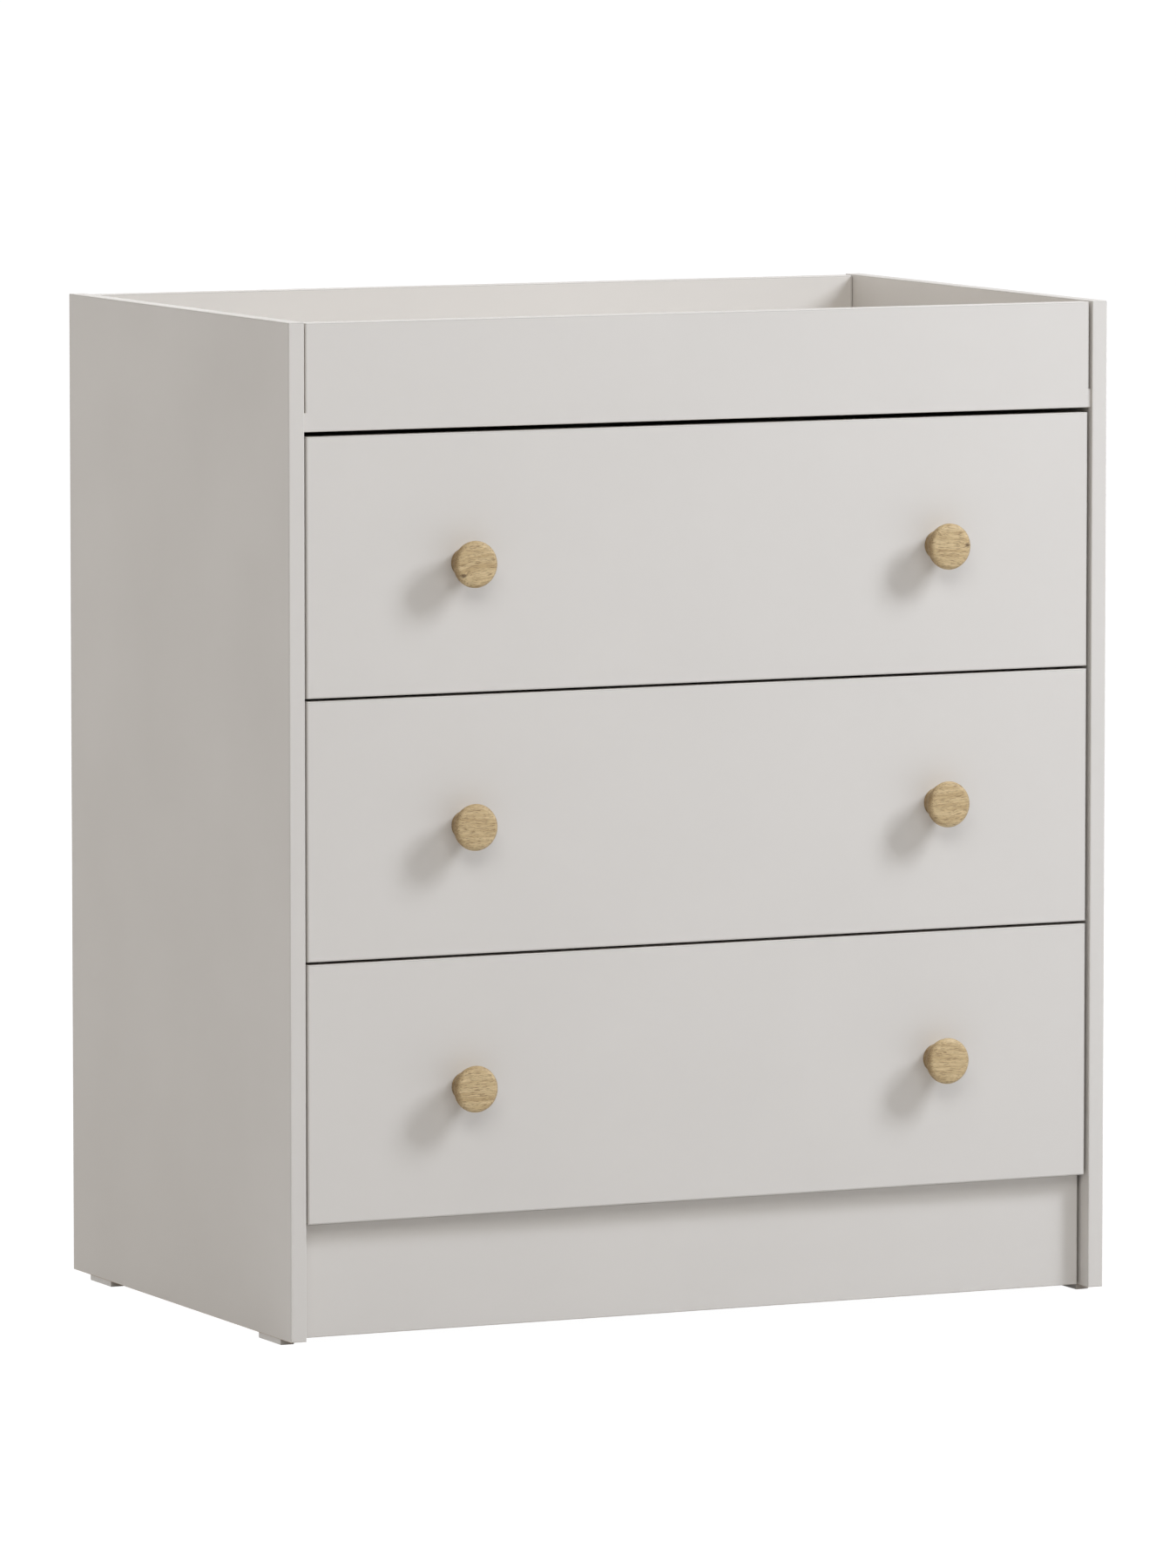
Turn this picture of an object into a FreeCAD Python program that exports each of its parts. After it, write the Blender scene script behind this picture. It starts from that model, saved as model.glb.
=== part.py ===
import FreeCAD, Part
import math
import os
import re

import Sketcher

# Changing dresser: a carcass of two side panels that run past everything between
# them, a changing tray on top, three drawers on roller runners and a set-back plinth.
# Frame: X to the right, Y to the back, Z up, origin under the middle of the
# dresser on the floor, half way from the knobs to the back edge. All sizes in mm.

SIZES = [
    # carcass
    ("carcass_width", 870, "over both side panels"),
    ("panel_depth", 540, "side panel, front edge to back edge"),
    ("panel_thickness", 16, "side panel board"),
    ("edge_radius", 1, "rounding of the banded edges"),
    ("glide_height", 6, "plastic glide under a side panel"),
    ("glide_length", 52, "glide along the panel"),
    ("glide_width", 14, "glide across the panel"),
    ("glide_round", 1, "rounding of a glide's lower edges"),
    ("front_glide_setback", 28, "front edge to the front glide"),
    ("rear_glide_setback", 41, "back edge to the rear glide"),
    ("peg_radius", 2.5, "peg that holds a glide in the panel"),
    ("peg_length", 12, "peg above the glide"),
    ("peg_spacing", 30, "between a glide's two pegs"),
    ("peg_play", 0.1, "radial room round a peg"),
    # changing tray
    ("board_thickness", 18, "changing board"),
    ("wall_height", 85, "tray lip and tray back board"),
    ("wall_thickness", 16, "tray lip and tray back board"),
    ("wall_drop", 1, "tray walls below the side panels' top edges"),
    ("tray_recess", 2.5, "tray behind the side panels' front edges"),
    ("lip_end_gap", 2.5, "lip to side panel"),
    ("back_end_gap", 1, "tray back board to side panel"),
    ("wall_screw_radius", 2.5, "screw from below into a tray wall"),
    ("wall_screw_length", 50, "screw from below into a tray wall"),
    ("wall_screw_head", 4.5, "radius of its countersunk head"),
    ("wall_screw_spacing", 720, "between the outer screws of a tray wall"),
    # plinth, rail and back
    ("plinth_height", 109, "plinth board"),
    ("plinth_thickness", 16, "plinth board"),
    ("plinth_lift", 1, "plinth above the side panels' lower edges"),
    ("plinth_recess", 17, "plinth behind the side panels' front edges"),
    ("plinth_end_gap", 3.5, "plinth to side panel"),
    ("plinth_gap", 1.6, "plinth to the lower drawer front"),
    ("rail_height", 100, "rear rail"),
    ("rail_thickness", 16, "rear rail"),
    ("back_thickness", 3, "hardboard back"),
    ("back_setback", 14, "back edge to the groove of the hardboard"),
    ("back_groove_depth", 7, "groove of the hardboard"),
    ("back_play", 0.4, "room for the hardboard across its groove"),
    ("back_end_play", 1, "room for the hardboard at the groove's bottom"),
    ("block_size", 20, "corner block, along and across"),
    ("block_height", 50, "corner block"),
    ("block_rise", 30, "corner block above the glides"),
    ("block_screw_spacing", 24, "between the screws of one side of a block"),
    # drawers
    ("front_height", 248, "drawer front"),
    ("front_thickness", 16, "drawer front"),
    ("front_gap", 2.8, "between drawer fronts"),
    ("top_gap", 4.8, "changing board to the upper drawer front"),
    ("drawer_recess", 3, "drawer fronts behind the side panels' front edges"),
    ("drawer_side_gap", 3.5, "drawer front to side panel"),
    ("box_depth", 470, "drawer side, behind the front"),
    ("box_height", 180, "drawer side"),
    ("box_thickness", 12, "drawer side and drawer back"),
    ("box_rise", 22, "drawer side above the front's lower edge"),
    ("bottom_thickness", 4, "drawer bottom"),
    ("bottom_rise", 12, "drawer bottom above the side's lower edge"),
    ("bottom_groove_depth", 6, "groove of the drawer bottom"),
    ("bottom_play", 0.4, "room for the bottom across its groove"),
    ("bottom_end_play", 0.8, "room for the bottom at the groove's bottom"),
    # runners
    ("runner_length", 450, "both members of a runner"),
    ("runner_space", 12.5, "drawer side to side panel"),
    ("runner_setback", 2, "cabinet member behind the drawer front"),
    ("steel_thickness", 1.2, "runner steel"),
    ("channel_reach", 10.5, "flanges of the cabinet member"),
    ("hook_height", 16, "running flange above the drawer side's lower edge"),
    ("hook_reach", 10, "running flange of the drawer member"),
    ("foot_reach", 10, "foot of the drawer member under the side"),
    ("channel_play", 1.5, "running flange to the channel's upper flange"),
    ("drawer_travel", 340, "how far a drawer pulls out"),
    ("stop_height", 4, "stop tab in the channel"),
    ("stop_width", 4, "stop tab in the channel"),
    ("stop_play", 0.5, "roller to stop tab at either end of the travel"),
    ("roller_radius", 10, "nylon roller"),
    ("roller_width", 5, "nylon roller"),
    ("roller_play", 0.3, "roller to the flange it runs on"),
    ("roller_side_play", 0.6, "roller to its web"),
    ("roller_chamfer", 0.6, "edges of a roller"),
    ("roller_inset", 14, "axle from the end of its member"),
    ("axle_radius", 2.5, "riveted axle of a roller"),
    ("axle_play", 0.08, "radial room of a roller on its axle"),
    ("axle_head_radius", 4, "head of an axle"),
    ("axle_head_height", 1, "head of an axle"),
    ("axle_end_play", 0.3, "roller to the head of its axle"),
    # screws
    ("screw_radius", 1.75, "wood screw"),
    ("screw_length", 15, "wood screw under its head"),
    ("screw_head_radius", 3.3, "wood screw"),
    ("screw_head_height", 2, "wood screw"),
    ("screw_play", 0.05, "radial room round a screw"),
    ("first_screw", 40, "front end of a member to its first screw"),
    ("channel_last_screw", 26, "rear end of a cabinet member to its last screw"),
    ("member_last_screw", 58, "rear end of a drawer member to its last screw"),
    ("pilot_play", 1, "room ahead of a screw's tip"),
    ("block_screw_length", 33, "corner block screw under its head"),
    ("corner_screw_rise", 45, "lower box screw above the side's lower edge"),
    ("corner_screw_spacing", 100, "between the box screws of a corner"),
    ("corner_screw_length", 35, "box screw under its head"),
    # cam joints
    ("cam_distance", 24, "middle of a cam disc to the board's end"),
    ("cam_radius", 7.5, "cam disc"),
    ("cam_wall", 1, "wall of a cam disc behind its slot"),
    ("board_cam_depth", 12.5, "cam disc in the changing board"),
    ("box_cam_depth", 9.5, "cam disc in a drawer side"),
    ("cam_slot", 7.2, "slot of a cam disc for its bolt"),
    ("bolt_radius", 3, "shank of a cam bolt"),
    ("bolt_neck_radius", 1.8, "neck behind the head of a cam bolt"),
    ("bolt_neck_length", 3.5, "neck behind the head of a cam bolt"),
    ("bolt_thread_radius", 2.5, "thread of a cam bolt"),
    ("bolt_thread_length", 10, "thread of a cam bolt"),
    ("bolt_head_length", 3, "head of a cam bolt"),
    ("fitting_play", 0.1, "radial room round cam fittings and dowels"),
    ("board_cam_inset", 60, "changing board's front edge to its first cam"),
    ("board_cam_spacing", 410, "between the cams of one end"),
    ("dowel_radius", 4, "dowel"),
    ("dowel_reach", 20, "dowel in the changing board"),
    ("dowel_seat", 10, "dowel in the side panel"),
    ("dowel_offset", 32, "cam bolt to the dowel beside it"),
    ("box_cam_rise", 45, "lower drawer cam above the side's lower edge"),
    ("box_cam_spacing", 100, "between the cams of a drawer side"),
    # knobs
    ("knob_spacing", 504, "between the two knobs of a drawer"),
    ("knob_length", 30, "knob in front of the drawer front"),
    ("knob_diameter", 44.6, "where the hollow turns into the rim"),
    ("knob_belly", 23.5, "that place in front of the drawer front"),
    ("knob_foot_diameter", 28, "foot on the drawer front"),
    ("knob_neck", 5, "straight part of the foot"),
    ("knob_flare_radius", 40, "hollow from the foot to the widest turn"),
    ("knob_face_diameter", 36, "where the rim turns into the face"),
    ("knob_rim_radius", 5.2, "rounded rim"),
    ("knob_dome", 0.6, "crown of the face"),
    ("knob_hole_depth", 18, "threaded hole of a knob"),
    ("knob_screw_radius", 2, "knob screw"),
    ("knob_screw_reach", 14, "knob screw inside the knob"),
    ("knob_screw_head", 4, "radius of a knob screw's head"),
    ("knob_screw_head_height", 2.4, "knob screw's head"),
    ("knob_screw_play", 0.15, "radial room of a knob screw in the front"),
]

doc = FreeCAD.newDocument("changing_dresser")
sheet = doc.addObject("Spreadsheet::Sheet", "Sizes")
for row, (alias, value, note) in enumerate(SIZES, start=1):
    sheet.set("A%d" % row, alias)
    sheet.set("B%d" % row, str(value))
    sheet.set("C%d" % row, note)
    sheet.setAlias("B%d" % row, alias)
doc.recompute()

WORDS = re.compile(r"\b(" + "|".join(alias for alias, value, note in SIZES) + r")\b")

# Places that several pieces share, written with the sheet's own names.
INNER_WIDTH = "(carcass_width - 2 * panel_thickness)"
KNOB_OVERHANG = "(knob_length + knob_dome - drawer_recess)"
FRONT = f"(({KNOB_OVERHANG} - panel_depth) / 2)"
DRAWER_PITCH = "(front_height + front_gap)"
LOWEST_FRONT = "(glide_height + plinth_lift + plinth_height + plinth_gap)"
LOWEST_BOX = f"({LOWEST_FRONT} + box_rise)"
BOARD_UNDER = f"({LOWEST_FRONT} + 2 * {DRAWER_PITCH} + front_height + top_gap)"
BOARD_TOP = f"({BOARD_UNDER} + board_thickness)"
PANEL_HEIGHT = f"({BOARD_TOP} + wall_height + wall_drop - glide_height)"
BOARD_DEPTH = "(panel_depth - tray_recess)"
BACK_GROOVE = "(back_thickness + back_play)"
BACK_PANEL_FRONT = f"(panel_depth - back_setback - {BACK_GROOVE})"
BOX_FRONT = f"({FRONT} + drawer_recess + front_thickness)"
BOX_WIDTH = f"({INNER_WIDTH} - 2 * runner_space)"
BOTTOM_GROOVE = "(bottom_thickness + bottom_play)"
AXLE_RISE = "(hook_height - roller_play - roller_radius)"
TRACK_RISE = f"({AXLE_RISE} - roller_radius - roller_play)"
CHANNEL_ROOF = "(hook_height + steel_thickness + channel_play)"
CHANNEL_SCREW_RISE = f"(({TRACK_RISE} + {CHANNEL_ROOF}) / 2)"
CHANNEL_SCREW_SPAN = "(runner_length - first_screw - channel_last_screw)"
MEMBER_SCREW_RISE = "(hook_height / 2)"
MEMBER_SCREW_SPACING = "(runner_length - first_screw - member_last_screw)"
MEMBER_SCREW_LENGTH = "(box_thickness - bottom_groove_depth / 2)"
FRONT_AXLE = "(runner_setback + roller_inset)"
REAR_AXLE = "(runner_length - roller_inset)"
STOP_REACH = "sqrt(roller_radius ^ 2 - (roller_radius + roller_play - stop_height) ^ 2)"
SCREW_HOLE = "(screw_radius + screw_play)"
BLOCK_ORIGIN = f"({FRONT} + plinth_recess + plinth_thickness)"
BLOCK_SPAN = f"({BACK_PANEL_FRONT} - rail_thickness - plinth_recess - plinth_thickness)"
BLOCK_SCREW_RISE = "((block_height - block_screw_spacing) / 2)"


def full(text):
    """Write a size expression the way the document reads it."""
    return WORDS.sub(r"Sizes.\1", text)


def number(text):
    """The present value of a size expression."""
    return float(sheet.evalExpression(full(text)))


def bind(thing, path, text):
    """Tie one property of an object to a size expression."""
    thing.setExpression(path, full(text))


def inward(side, text):
    """A distance from a side panel towards the middle; side is -1 left, 1 right."""
    return f"{-side} * ({text})"


def origin_feature(body, role):
    """A body's own origin plane or axis."""
    return next(f for f in body.Origin.OriginFeatures if f.Role == role)


def new_body(label, x, y, z):
    """A body that stands at a place given by size expressions."""
    body = doc.addObject("PartDesign::Body", label)
    body.Label = label
    bind(body, "Placement.Base.x", x)
    bind(body, "Placement.Base.y", y)
    bind(body, "Placement.Base.z", z)
    return body


def new_sketch(body, name, role, offset):
    """An empty sketch on one of the body's origin planes, moved by an offset."""
    sketch = body.newObject("Sketcher::SketchObject", name)
    sketch.AttachmentSupport = [(origin_feature(body, role), "")]
    sketch.MapMode = "FlatFace"
    for axis, text in zip("xyz", offset):
        bind(sketch, "AttachmentOffset.Base." + axis, text)
    return sketch


def arc_between(start, end, radius):
    """The short arc from start to end, turning left where the radius is positive."""
    chord = end - start
    middle = (start + end) * 0.5
    left = FreeCAD.Vector(-chord.y, chord.x, 0).normalize()
    rise = math.sqrt(radius ** 2 - (chord.Length / 2) ** 2)
    centre = middle + left * math.copysign(rise, radius)
    circle = Part.Circle(centre, FreeCAD.Vector(0, 0, 1), abs(radius))
    first, last = (start, end) if radius > 0 else (end, start)
    return Part.ArcOfCircle(circle, circle.parameter(first), circle.parameter(last))


def outline(body, name, role, corners, offset=("0", "0", "0")):
    """A closed outline whose corners are tied to the sheet. A corner with a third
    entry starts an arc of that radius, turning left where it is positive."""
    sketch = new_sketch(body, name, role, offset)
    points = [FreeCAD.Vector(number(c[0]), number(c[1]), 0) for c in corners]
    ends = []
    for index, corner in enumerate(corners):
        start = points[index]
        end = points[(index + 1) % len(points)]
        if len(corner) == 3:
            radius = number(corner[2])
            sketch.addGeometry(arc_between(start, end, radius), False)
            ends.append((1, 2) if radius > 0 else (2, 1))
        else:
            sketch.addGeometry(Part.LineSegment(start, end), False)
            ends.append((1, 2))
    for index in range(len(corners)):
        following = (index + 1) % len(corners)
        joint = Sketcher.Constraint("Coincident", index, ends[index][1], following, ends[following][0])
        sketch.addConstraint(joint)
    for index, corner in enumerate(corners):
        for kind, text in (("DistanceX", corner[0]), ("DistanceY", corner[1])):
            size = Sketcher.Constraint(kind, -1, 1, index, ends[index][0], number(text))
            row = sketch.addConstraint(size)
            bind(sketch, "Constraints[%d]" % row, text)
        if len(corner) == 3:
            row = sketch.addConstraint(Sketcher.Constraint("Radius", index, abs(number(corner[2]))))
            bind(sketch, "Constraints[%d]" % row, corner[2].lstrip("-"))
    return sketch


def circles(body, name, role, centres, radius, offset=("0", "0", "0")):
    """A sketch of equal circles at places tied to the sheet."""
    sketch = new_sketch(body, name, role, offset)
    for index, (x, y) in enumerate(centres):
        centre = FreeCAD.Vector(number(x), number(y), 0)
        circle = Part.Circle(centre, FreeCAD.Vector(0, 0, 1), number(radius))
        sketch.addGeometry(circle, False)
        for kind, text in (("DistanceX", x), ("DistanceY", y)):
            row = sketch.addConstraint(Sketcher.Constraint(kind, -1, 1, index, 3, number(text)))
            bind(sketch, "Constraints[%d]" % row, text)
        row = sketch.addConstraint(Sketcher.Constraint("Radius", index, number(radius)))
        bind(sketch, "Constraints[%d]" % row, radius)
    return sketch


def rectangle(left, low, right, high):
    """The four corners of a rectangle."""
    return [(left, low), (right, low), (right, high), (left, high)]


def extrude(body, kind, sketch, length, reverse):
    """Pad or pocket a sketch by a length tied to the sheet."""
    feature = body.newObject("PartDesign::" + kind, sketch.Name + "_" + kind)
    feature.Profile = sketch
    feature.Reversed = reverse
    bind(feature, "Length", length)
    doc.recompute()
    return feature


def pad(body, sketch, length, reverse=False):
    """Add material along the sketch's normal, or against it."""
    return extrude(body, "Pad", sketch, length, reverse)


def pocket(body, sketch, length, reverse=False):
    """Take material away behind the sketch, or in front of it."""
    before = body.Shape.Volume
    feature = extrude(body, "Pocket", sketch, length, reverse)
    if body.Shape.Volume >= before:
        raise RuntimeError(feature.Name + " cuts nothing")
    return feature


def turn(body, sketch, axis):
    """Turn a half profile all the way round a sketch axis."""
    feature = body.newObject("PartDesign::Revolution", sketch.Name + "_turn")
    feature.Profile = sketch
    feature.ReferenceAxis = (sketch, [axis])
    feature.Angle = 360
    doc.recompute()
    return feature


def repeat(body, originals, steps):
    """Repeat features. A step is a mirror plane's role, or an axis, a length, a count."""
    pattern = body.newObject("PartDesign::MultiTransform", originals[0].Name + "_repeat")
    pattern.Originals = originals
    transformations = []
    for step in steps:
        if len(step) == 1:
            part = doc.addObject("PartDesign::Mirrored", pattern.Name + "_mirror")
            body.addObject(part)
            part.MirrorPlane = (origin_feature(body, step[0]), [""])
        else:
            axis, length, count = step
            part = doc.addObject("PartDesign::LinearPattern", pattern.Name + "_line")
            body.addObject(part)
            part.Direction = (origin_feature(body, axis), [""])
            bind(part, "Length", length)
            part.Occurrences = count
        transformations.append(part)
    pattern.Transformations = transformations
    body.Tip = pattern
    doc.recompute()
    return pattern


def soften(body, radius, planes, spare=()):
    """Round the edges that lie in the given planes and in none of the spare ones."""
    base = body.Tip

    def lies_in(edge, plane):
        axis, text = plane
        place = number(text)
        return all(abs(getattr(vertex.Point, axis) - place) < 1e-6 for vertex in edge.Vertexes)

    names = []
    for index, edge in enumerate(base.Shape.Edges, start=1):
        chosen = any(lies_in(edge, plane) for plane in planes)
        if chosen and not any(lies_in(edge, plane) for plane in spare):
            names.append("Edge%d" % index)
    feature = body.newObject("PartDesign::Fillet", body.Name + "_soft")
    feature.Base = (base, names)
    bind(feature, "Radius", radius)
    doc.recompute()
    return feature


def side_panel(label, side):
    """A side panel: local X zero is its inner face, and it lies outward of it."""
    body = new_body(label, f"{side} * {INNER_WIDTH} / 2", FRONT, "glide_height")
    face = outline(body, label + "_face", "YZ_Plane", rectangle("0", "0", "panel_depth", PANEL_HEIGHT))
    pad(body, face, "panel_thickness", side < 0)
    soften(body, "edge_radius", [("y", "0"), ("z", PANEL_HEIGHT)])
    groove_top = f"{BOARD_UNDER} - glide_height + back_groove_depth"
    groove = rectangle(BACK_PANEL_FRONT, "0", "panel_depth - back_setback", groove_top)
    groove_sketch = outline(body, label + "_groove", "YZ_Plane", groove)
    pocket(body, groove_sketch, "back_groove_depth", side > 0)

    first = ("drawer_recess + front_thickness + runner_setback + first_screw",
             f"{LOWEST_BOX} - glide_height + {CHANNEL_SCREW_RISE}")
    pilots = circles(body, label + "_pilots", "YZ_Plane", [first], SCREW_HOLE)
    pilot = pocket(body, pilots, "screw_length", side > 0)
    repeat(body, [pilot], [("Y_Axis", CHANNEL_SCREW_SPAN, 3), ("Z_Axis", f"2 * {DRAWER_PITCH}", 3)])

    level = f"{BOARD_UNDER} + board_thickness / 2 - glide_height"
    bolts = [(f"tray_recess + board_cam_inset + {step} * board_cam_spacing", level) for step in (0, 1)]
    bolt_sketch = circles(body, label + "_bolts", "YZ_Plane", bolts, "bolt_thread_radius + fitting_play")
    pocket(body, bolt_sketch, "bolt_thread_length + fitting_play", side > 0)
    dowels = [(place + " + dowel_offset", level) for place, level in bolts]
    dowel_sketch = circles(body, label + "_dowels", "YZ_Plane", dowels, "dowel_radius + fitting_play")
    pocket(body, dowel_sketch, "dowel_seat + fitting_play", side > 0)

    front_block = "plinth_recess + plinth_thickness + block_size / 2"
    rear_block = f"{BACK_PANEL_FRONT} - rail_thickness - block_size / 2"
    rise = f"block_rise + {BLOCK_SCREW_RISE}"
    block_holes = [(place, f"{rise} + {step} * block_screw_spacing")
                   for place in (front_block, rear_block) for step in (0, 1)]
    block_sketch = circles(body, label + "_block_holes", "YZ_Plane", block_holes, SCREW_HOLE)
    pocket(body, block_sketch, "block_screw_length - block_size + pilot_play", side > 0)

    middle = f"{side} * panel_thickness / 2"
    front_glide = "front_glide_setback + glide_length / 2"
    rear_glide = "panel_depth - rear_glide_setback - glide_length / 2"
    pegs = [(middle, f"{place} + {half} * peg_spacing / 2")
            for place in (front_glide, rear_glide) for half in (-1, 1)]
    peg_sketch = circles(body, label + "_peg_holes", "XY_Plane", pegs, "peg_radius + peg_play")
    pocket(body, peg_sketch, "peg_length + peg_play", True)
    return body


def glide(label, side, place):
    """A flat plastic glide with two pegs, under a side panel."""
    body = new_body(label, f"{side} * (carcass_width - panel_thickness) / 2", place, "0")
    plate = rectangle("-glide_width / 2", "-glide_length / 2", "glide_width / 2", "glide_length / 2")
    pad(body, outline(body, label + "_plate", "XY_Plane", plate), "glide_height")
    soften(body, "glide_round", [("z", "0")])
    pegs = [("0", "-peg_spacing / 2"), ("0", "peg_spacing / 2")]
    peg_sketch = circles(body, label + "_pegs", "XY_Plane", pegs, "peg_radius", ("0", "0", "glide_height"))
    pad(body, peg_sketch, "peg_length")
    return body


def changing_board():
    """The board that the mat lies on, held between the side panels by cam bolts."""
    label = "changing_board"
    body = new_body(label, "0", f"{FRONT} + tray_recess", BOARD_UNDER)
    half = f"{INNER_WIDTH} / 2"
    face = outline(body, label + "_face", "XY_Plane", rectangle(f"-{half}", "0", half, BOARD_DEPTH))
    pad(body, face, "board_thickness")
    soften(body, "edge_radius", [("y", "0")], [("z", "board_thickness")])
    groove = rectangle(f"-{half}", f"{BACK_PANEL_FRONT} - tray_recess", half,
                       "panel_depth - back_setback - tray_recess")
    pocket(body, outline(body, label + "_groove", "XY_Plane", groove), "back_groove_depth", True)

    first = "board_cam_inset"
    cams = [(f"{INNER_WIDTH} / 2 - cam_distance", f"{first} + {step} * board_cam_spacing") for step in (0, 1)]
    seat_sketch = circles(body, label + "_seats", "XY_Plane", cams, "cam_radius + fitting_play")
    seats = pocket(body, seat_sketch, "board_cam_depth + fitting_play", True)
    ends = ("0", "board_thickness / 2", f"{INNER_WIDTH} / 2")
    bolts = [(f"{first} + {step} * board_cam_spacing", "0") for step in (0, 1)]
    bolt_sketch = circles(body, label + "_bolts", "YZ_Plane", bolts, "bolt_radius + fitting_play", ends)
    channels = pocket(body, bolt_sketch, "cam_distance")
    dowels = [(place + " + dowel_offset", "0") for place, level in bolts]
    dowel_sketch = circles(body, label + "_dowels", "YZ_Plane", dowels, "dowel_radius + fitting_play", ends)
    dowel_holes = pocket(body, dowel_sketch, "dowel_reach + fitting_play")
    repeat(body, [seats, channels, dowel_holes], [("YZ_Plane",)])

    for name, place in (("lip", "wall_thickness / 2"), ("rear", f"{BOARD_DEPTH} - wall_thickness / 2")):
        hole = [("0", "0"), ("wall_screw_head", "0"),
                ("wall_screw_radius + screw_play", "wall_screw_head - wall_screw_radius"),
                ("wall_screw_radius + screw_play", "board_thickness"), ("0", "board_thickness")]
        sketch = outline(body, f"{label}_{name}_screw", "XZ_Plane", hole,
                         ("-wall_screw_spacing / 2", "0", f"-({place})"))
        drill = body.newObject("PartDesign::Groove", f"{label}_{name}_holes")
        drill.Profile = sketch
        drill.ReferenceAxis = (sketch, ["V_Axis"])
        drill.Angle = 360
        doc.recompute()
        repeat(body, [drill], [("X_Axis", "wall_screw_spacing", 4)])
    return body


def tray_wall(label, end_gap, place, softened):
    """A board that stands on the changing board, with pilot holes from below."""
    body = new_body(label, "0", place, BOARD_TOP)
    half = f"({INNER_WIDTH} / 2 - {end_gap})"
    face = outline(body, label + "_face", "XY_Plane", rectangle(f"-{half}", "0", half, "wall_thickness"))
    pad(body, face, "wall_height")
    soften(body, "edge_radius", softened, [("z", "0")])
    hole = [("-wall_screw_spacing / 2", "wall_thickness / 2")]
    sketch = circles(body, label + "_pilot", "XY_Plane", hole, "wall_screw_radius + screw_play")
    pilot = pocket(body, sketch, "wall_screw_length - board_thickness + pilot_play", True)
    repeat(body, [pilot], [("X_Axis", "wall_screw_spacing", 4)])
    return body


def plinth_board():
    """The set-back plinth, softened at the front, with holes for its corner blocks."""
    label = "plinth_board"
    body = new_body(label, "0", f"{FRONT} + plinth_recess", "glide_height + plinth_lift")
    half = f"({INNER_WIDTH} / 2 - plinth_end_gap)"
    face = outline(body, label + "_face", "XZ_Plane", rectangle(f"-{half}", "0", half, "plinth_height"))
    pad(body, face, "plinth_thickness", True)
    soften(body, "edge_radius", [("y", "0")])
    block_holes(body, label, "plinth_thickness", True)
    return body


def rear_rail():
    """The board between the side panels at the bottom of the back."""
    label = "rear_rail"
    body = new_body(label, "0", f"{FRONT} + {BACK_PANEL_FRONT} - rail_thickness",
                    "glide_height + plinth_lift")
    half = f"({INNER_WIDTH} / 2)"
    face = outline(body, label + "_face", "XZ_Plane", rectangle(f"-{half}", "0", half, "rail_height"))
    pad(body, face, "rail_thickness", True)
    block_holes(body, label, "0", False)
    return body


def block_holes(body, label, face_place, reverse):
    """Pilot holes for the screws of a board's two corner blocks."""
    across = f"{INNER_WIDTH} / 2 - block_size / 2"
    middle = "block_rise - plinth_lift + block_height / 2"
    hole = [(across, middle)]
    offset = ("0", "0", f"-({face_place})")
    sketch = circles(body, label + "_block_hole", "XZ_Plane", hole, SCREW_HOLE, offset)
    drill = pocket(body, sketch, "block_screw_length - block_size + pilot_play", reverse)
    repeat(body, [drill], [("YZ_Plane",)])


def back_panel():
    """The hardboard back in the grooves of the side panels and the changing board."""
    label = "back_panel"
    body = new_body(label, "0", f"{FRONT} + {BACK_PANEL_FRONT} + back_play / 2", "glide_height + plinth_lift")
    half = f"({INNER_WIDTH} / 2 + back_groove_depth - back_end_play)"
    top = f"{BOARD_UNDER} + back_groove_depth - back_end_play - glide_height - plinth_lift"
    face = outline(body, label + "_face", "XZ_Plane", rectangle(f"-{half}", "0", half, top))
    pad(body, face, "back_thickness", True)
    return body


def corner_blocks():
    """Four plastic blocks that hold the plinth and the rear rail to the side panels."""
    label = "corner_blocks"
    body = new_body(label, "0", f"{BLOCK_ORIGIN} + {BLOCK_SPAN} / 2", "glide_height + block_rise")
    outer = f"-{INNER_WIDTH} / 2"
    inner = f"({outer} + block_size)"
    front = f"-{BLOCK_SPAN} / 2"
    rear = f"({front} + block_size)"
    square = outline(body, label + "_square", "XY_Plane", rectangle(outer, front, inner, rear))
    block = pad(body, square, "block_height")
    panel_holes = [(f"{front} + block_size / 2", f"{BLOCK_SCREW_RISE} + {step} * block_screw_spacing")
                   for step in (0, 1)]
    panel_sketch = circles(body, label + "_panel_holes", "YZ_Plane", panel_holes,
                           "screw_radius + screw_play", ("0", "0", inner))
    panel_drill = pocket(body, panel_sketch, "block_size")
    board_hole = [(f"{outer} + block_size / 2", "block_height / 2")]
    board_sketch = circles(body, label + "_board_hole", "XZ_Plane", board_hole,
                           "screw_radius + screw_play", ("0", "0", f"-{front}"))
    board_drill = pocket(body, board_sketch, "block_size")
    repeat(body, [block, panel_drill, board_drill], [("YZ_Plane",), ("XZ_Plane",)])
    return body


def pan_head(radius, length, head_radius, head_height):
    """Half profile of a pan head screw: its head behind zero, its tip ahead."""
    return [(f"-({head_height})", "0"), (f"-({head_height})", f"0.8 * ({head_radius})"),
            ("0", head_radius), ("0", radius), (f"({length}) - 2 * ({radius})", radius), (length, "0")]


def countersunk(radius, length, head_radius):
    """Half profile of a countersunk screw: its head's face at zero, its tip ahead."""
    return [("0", "0"), ("0", head_radius), (f"({head_radius}) - ({radius})", radius),
            (f"({length}) - 2 * ({radius})", radius), (length, "0")]


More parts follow.
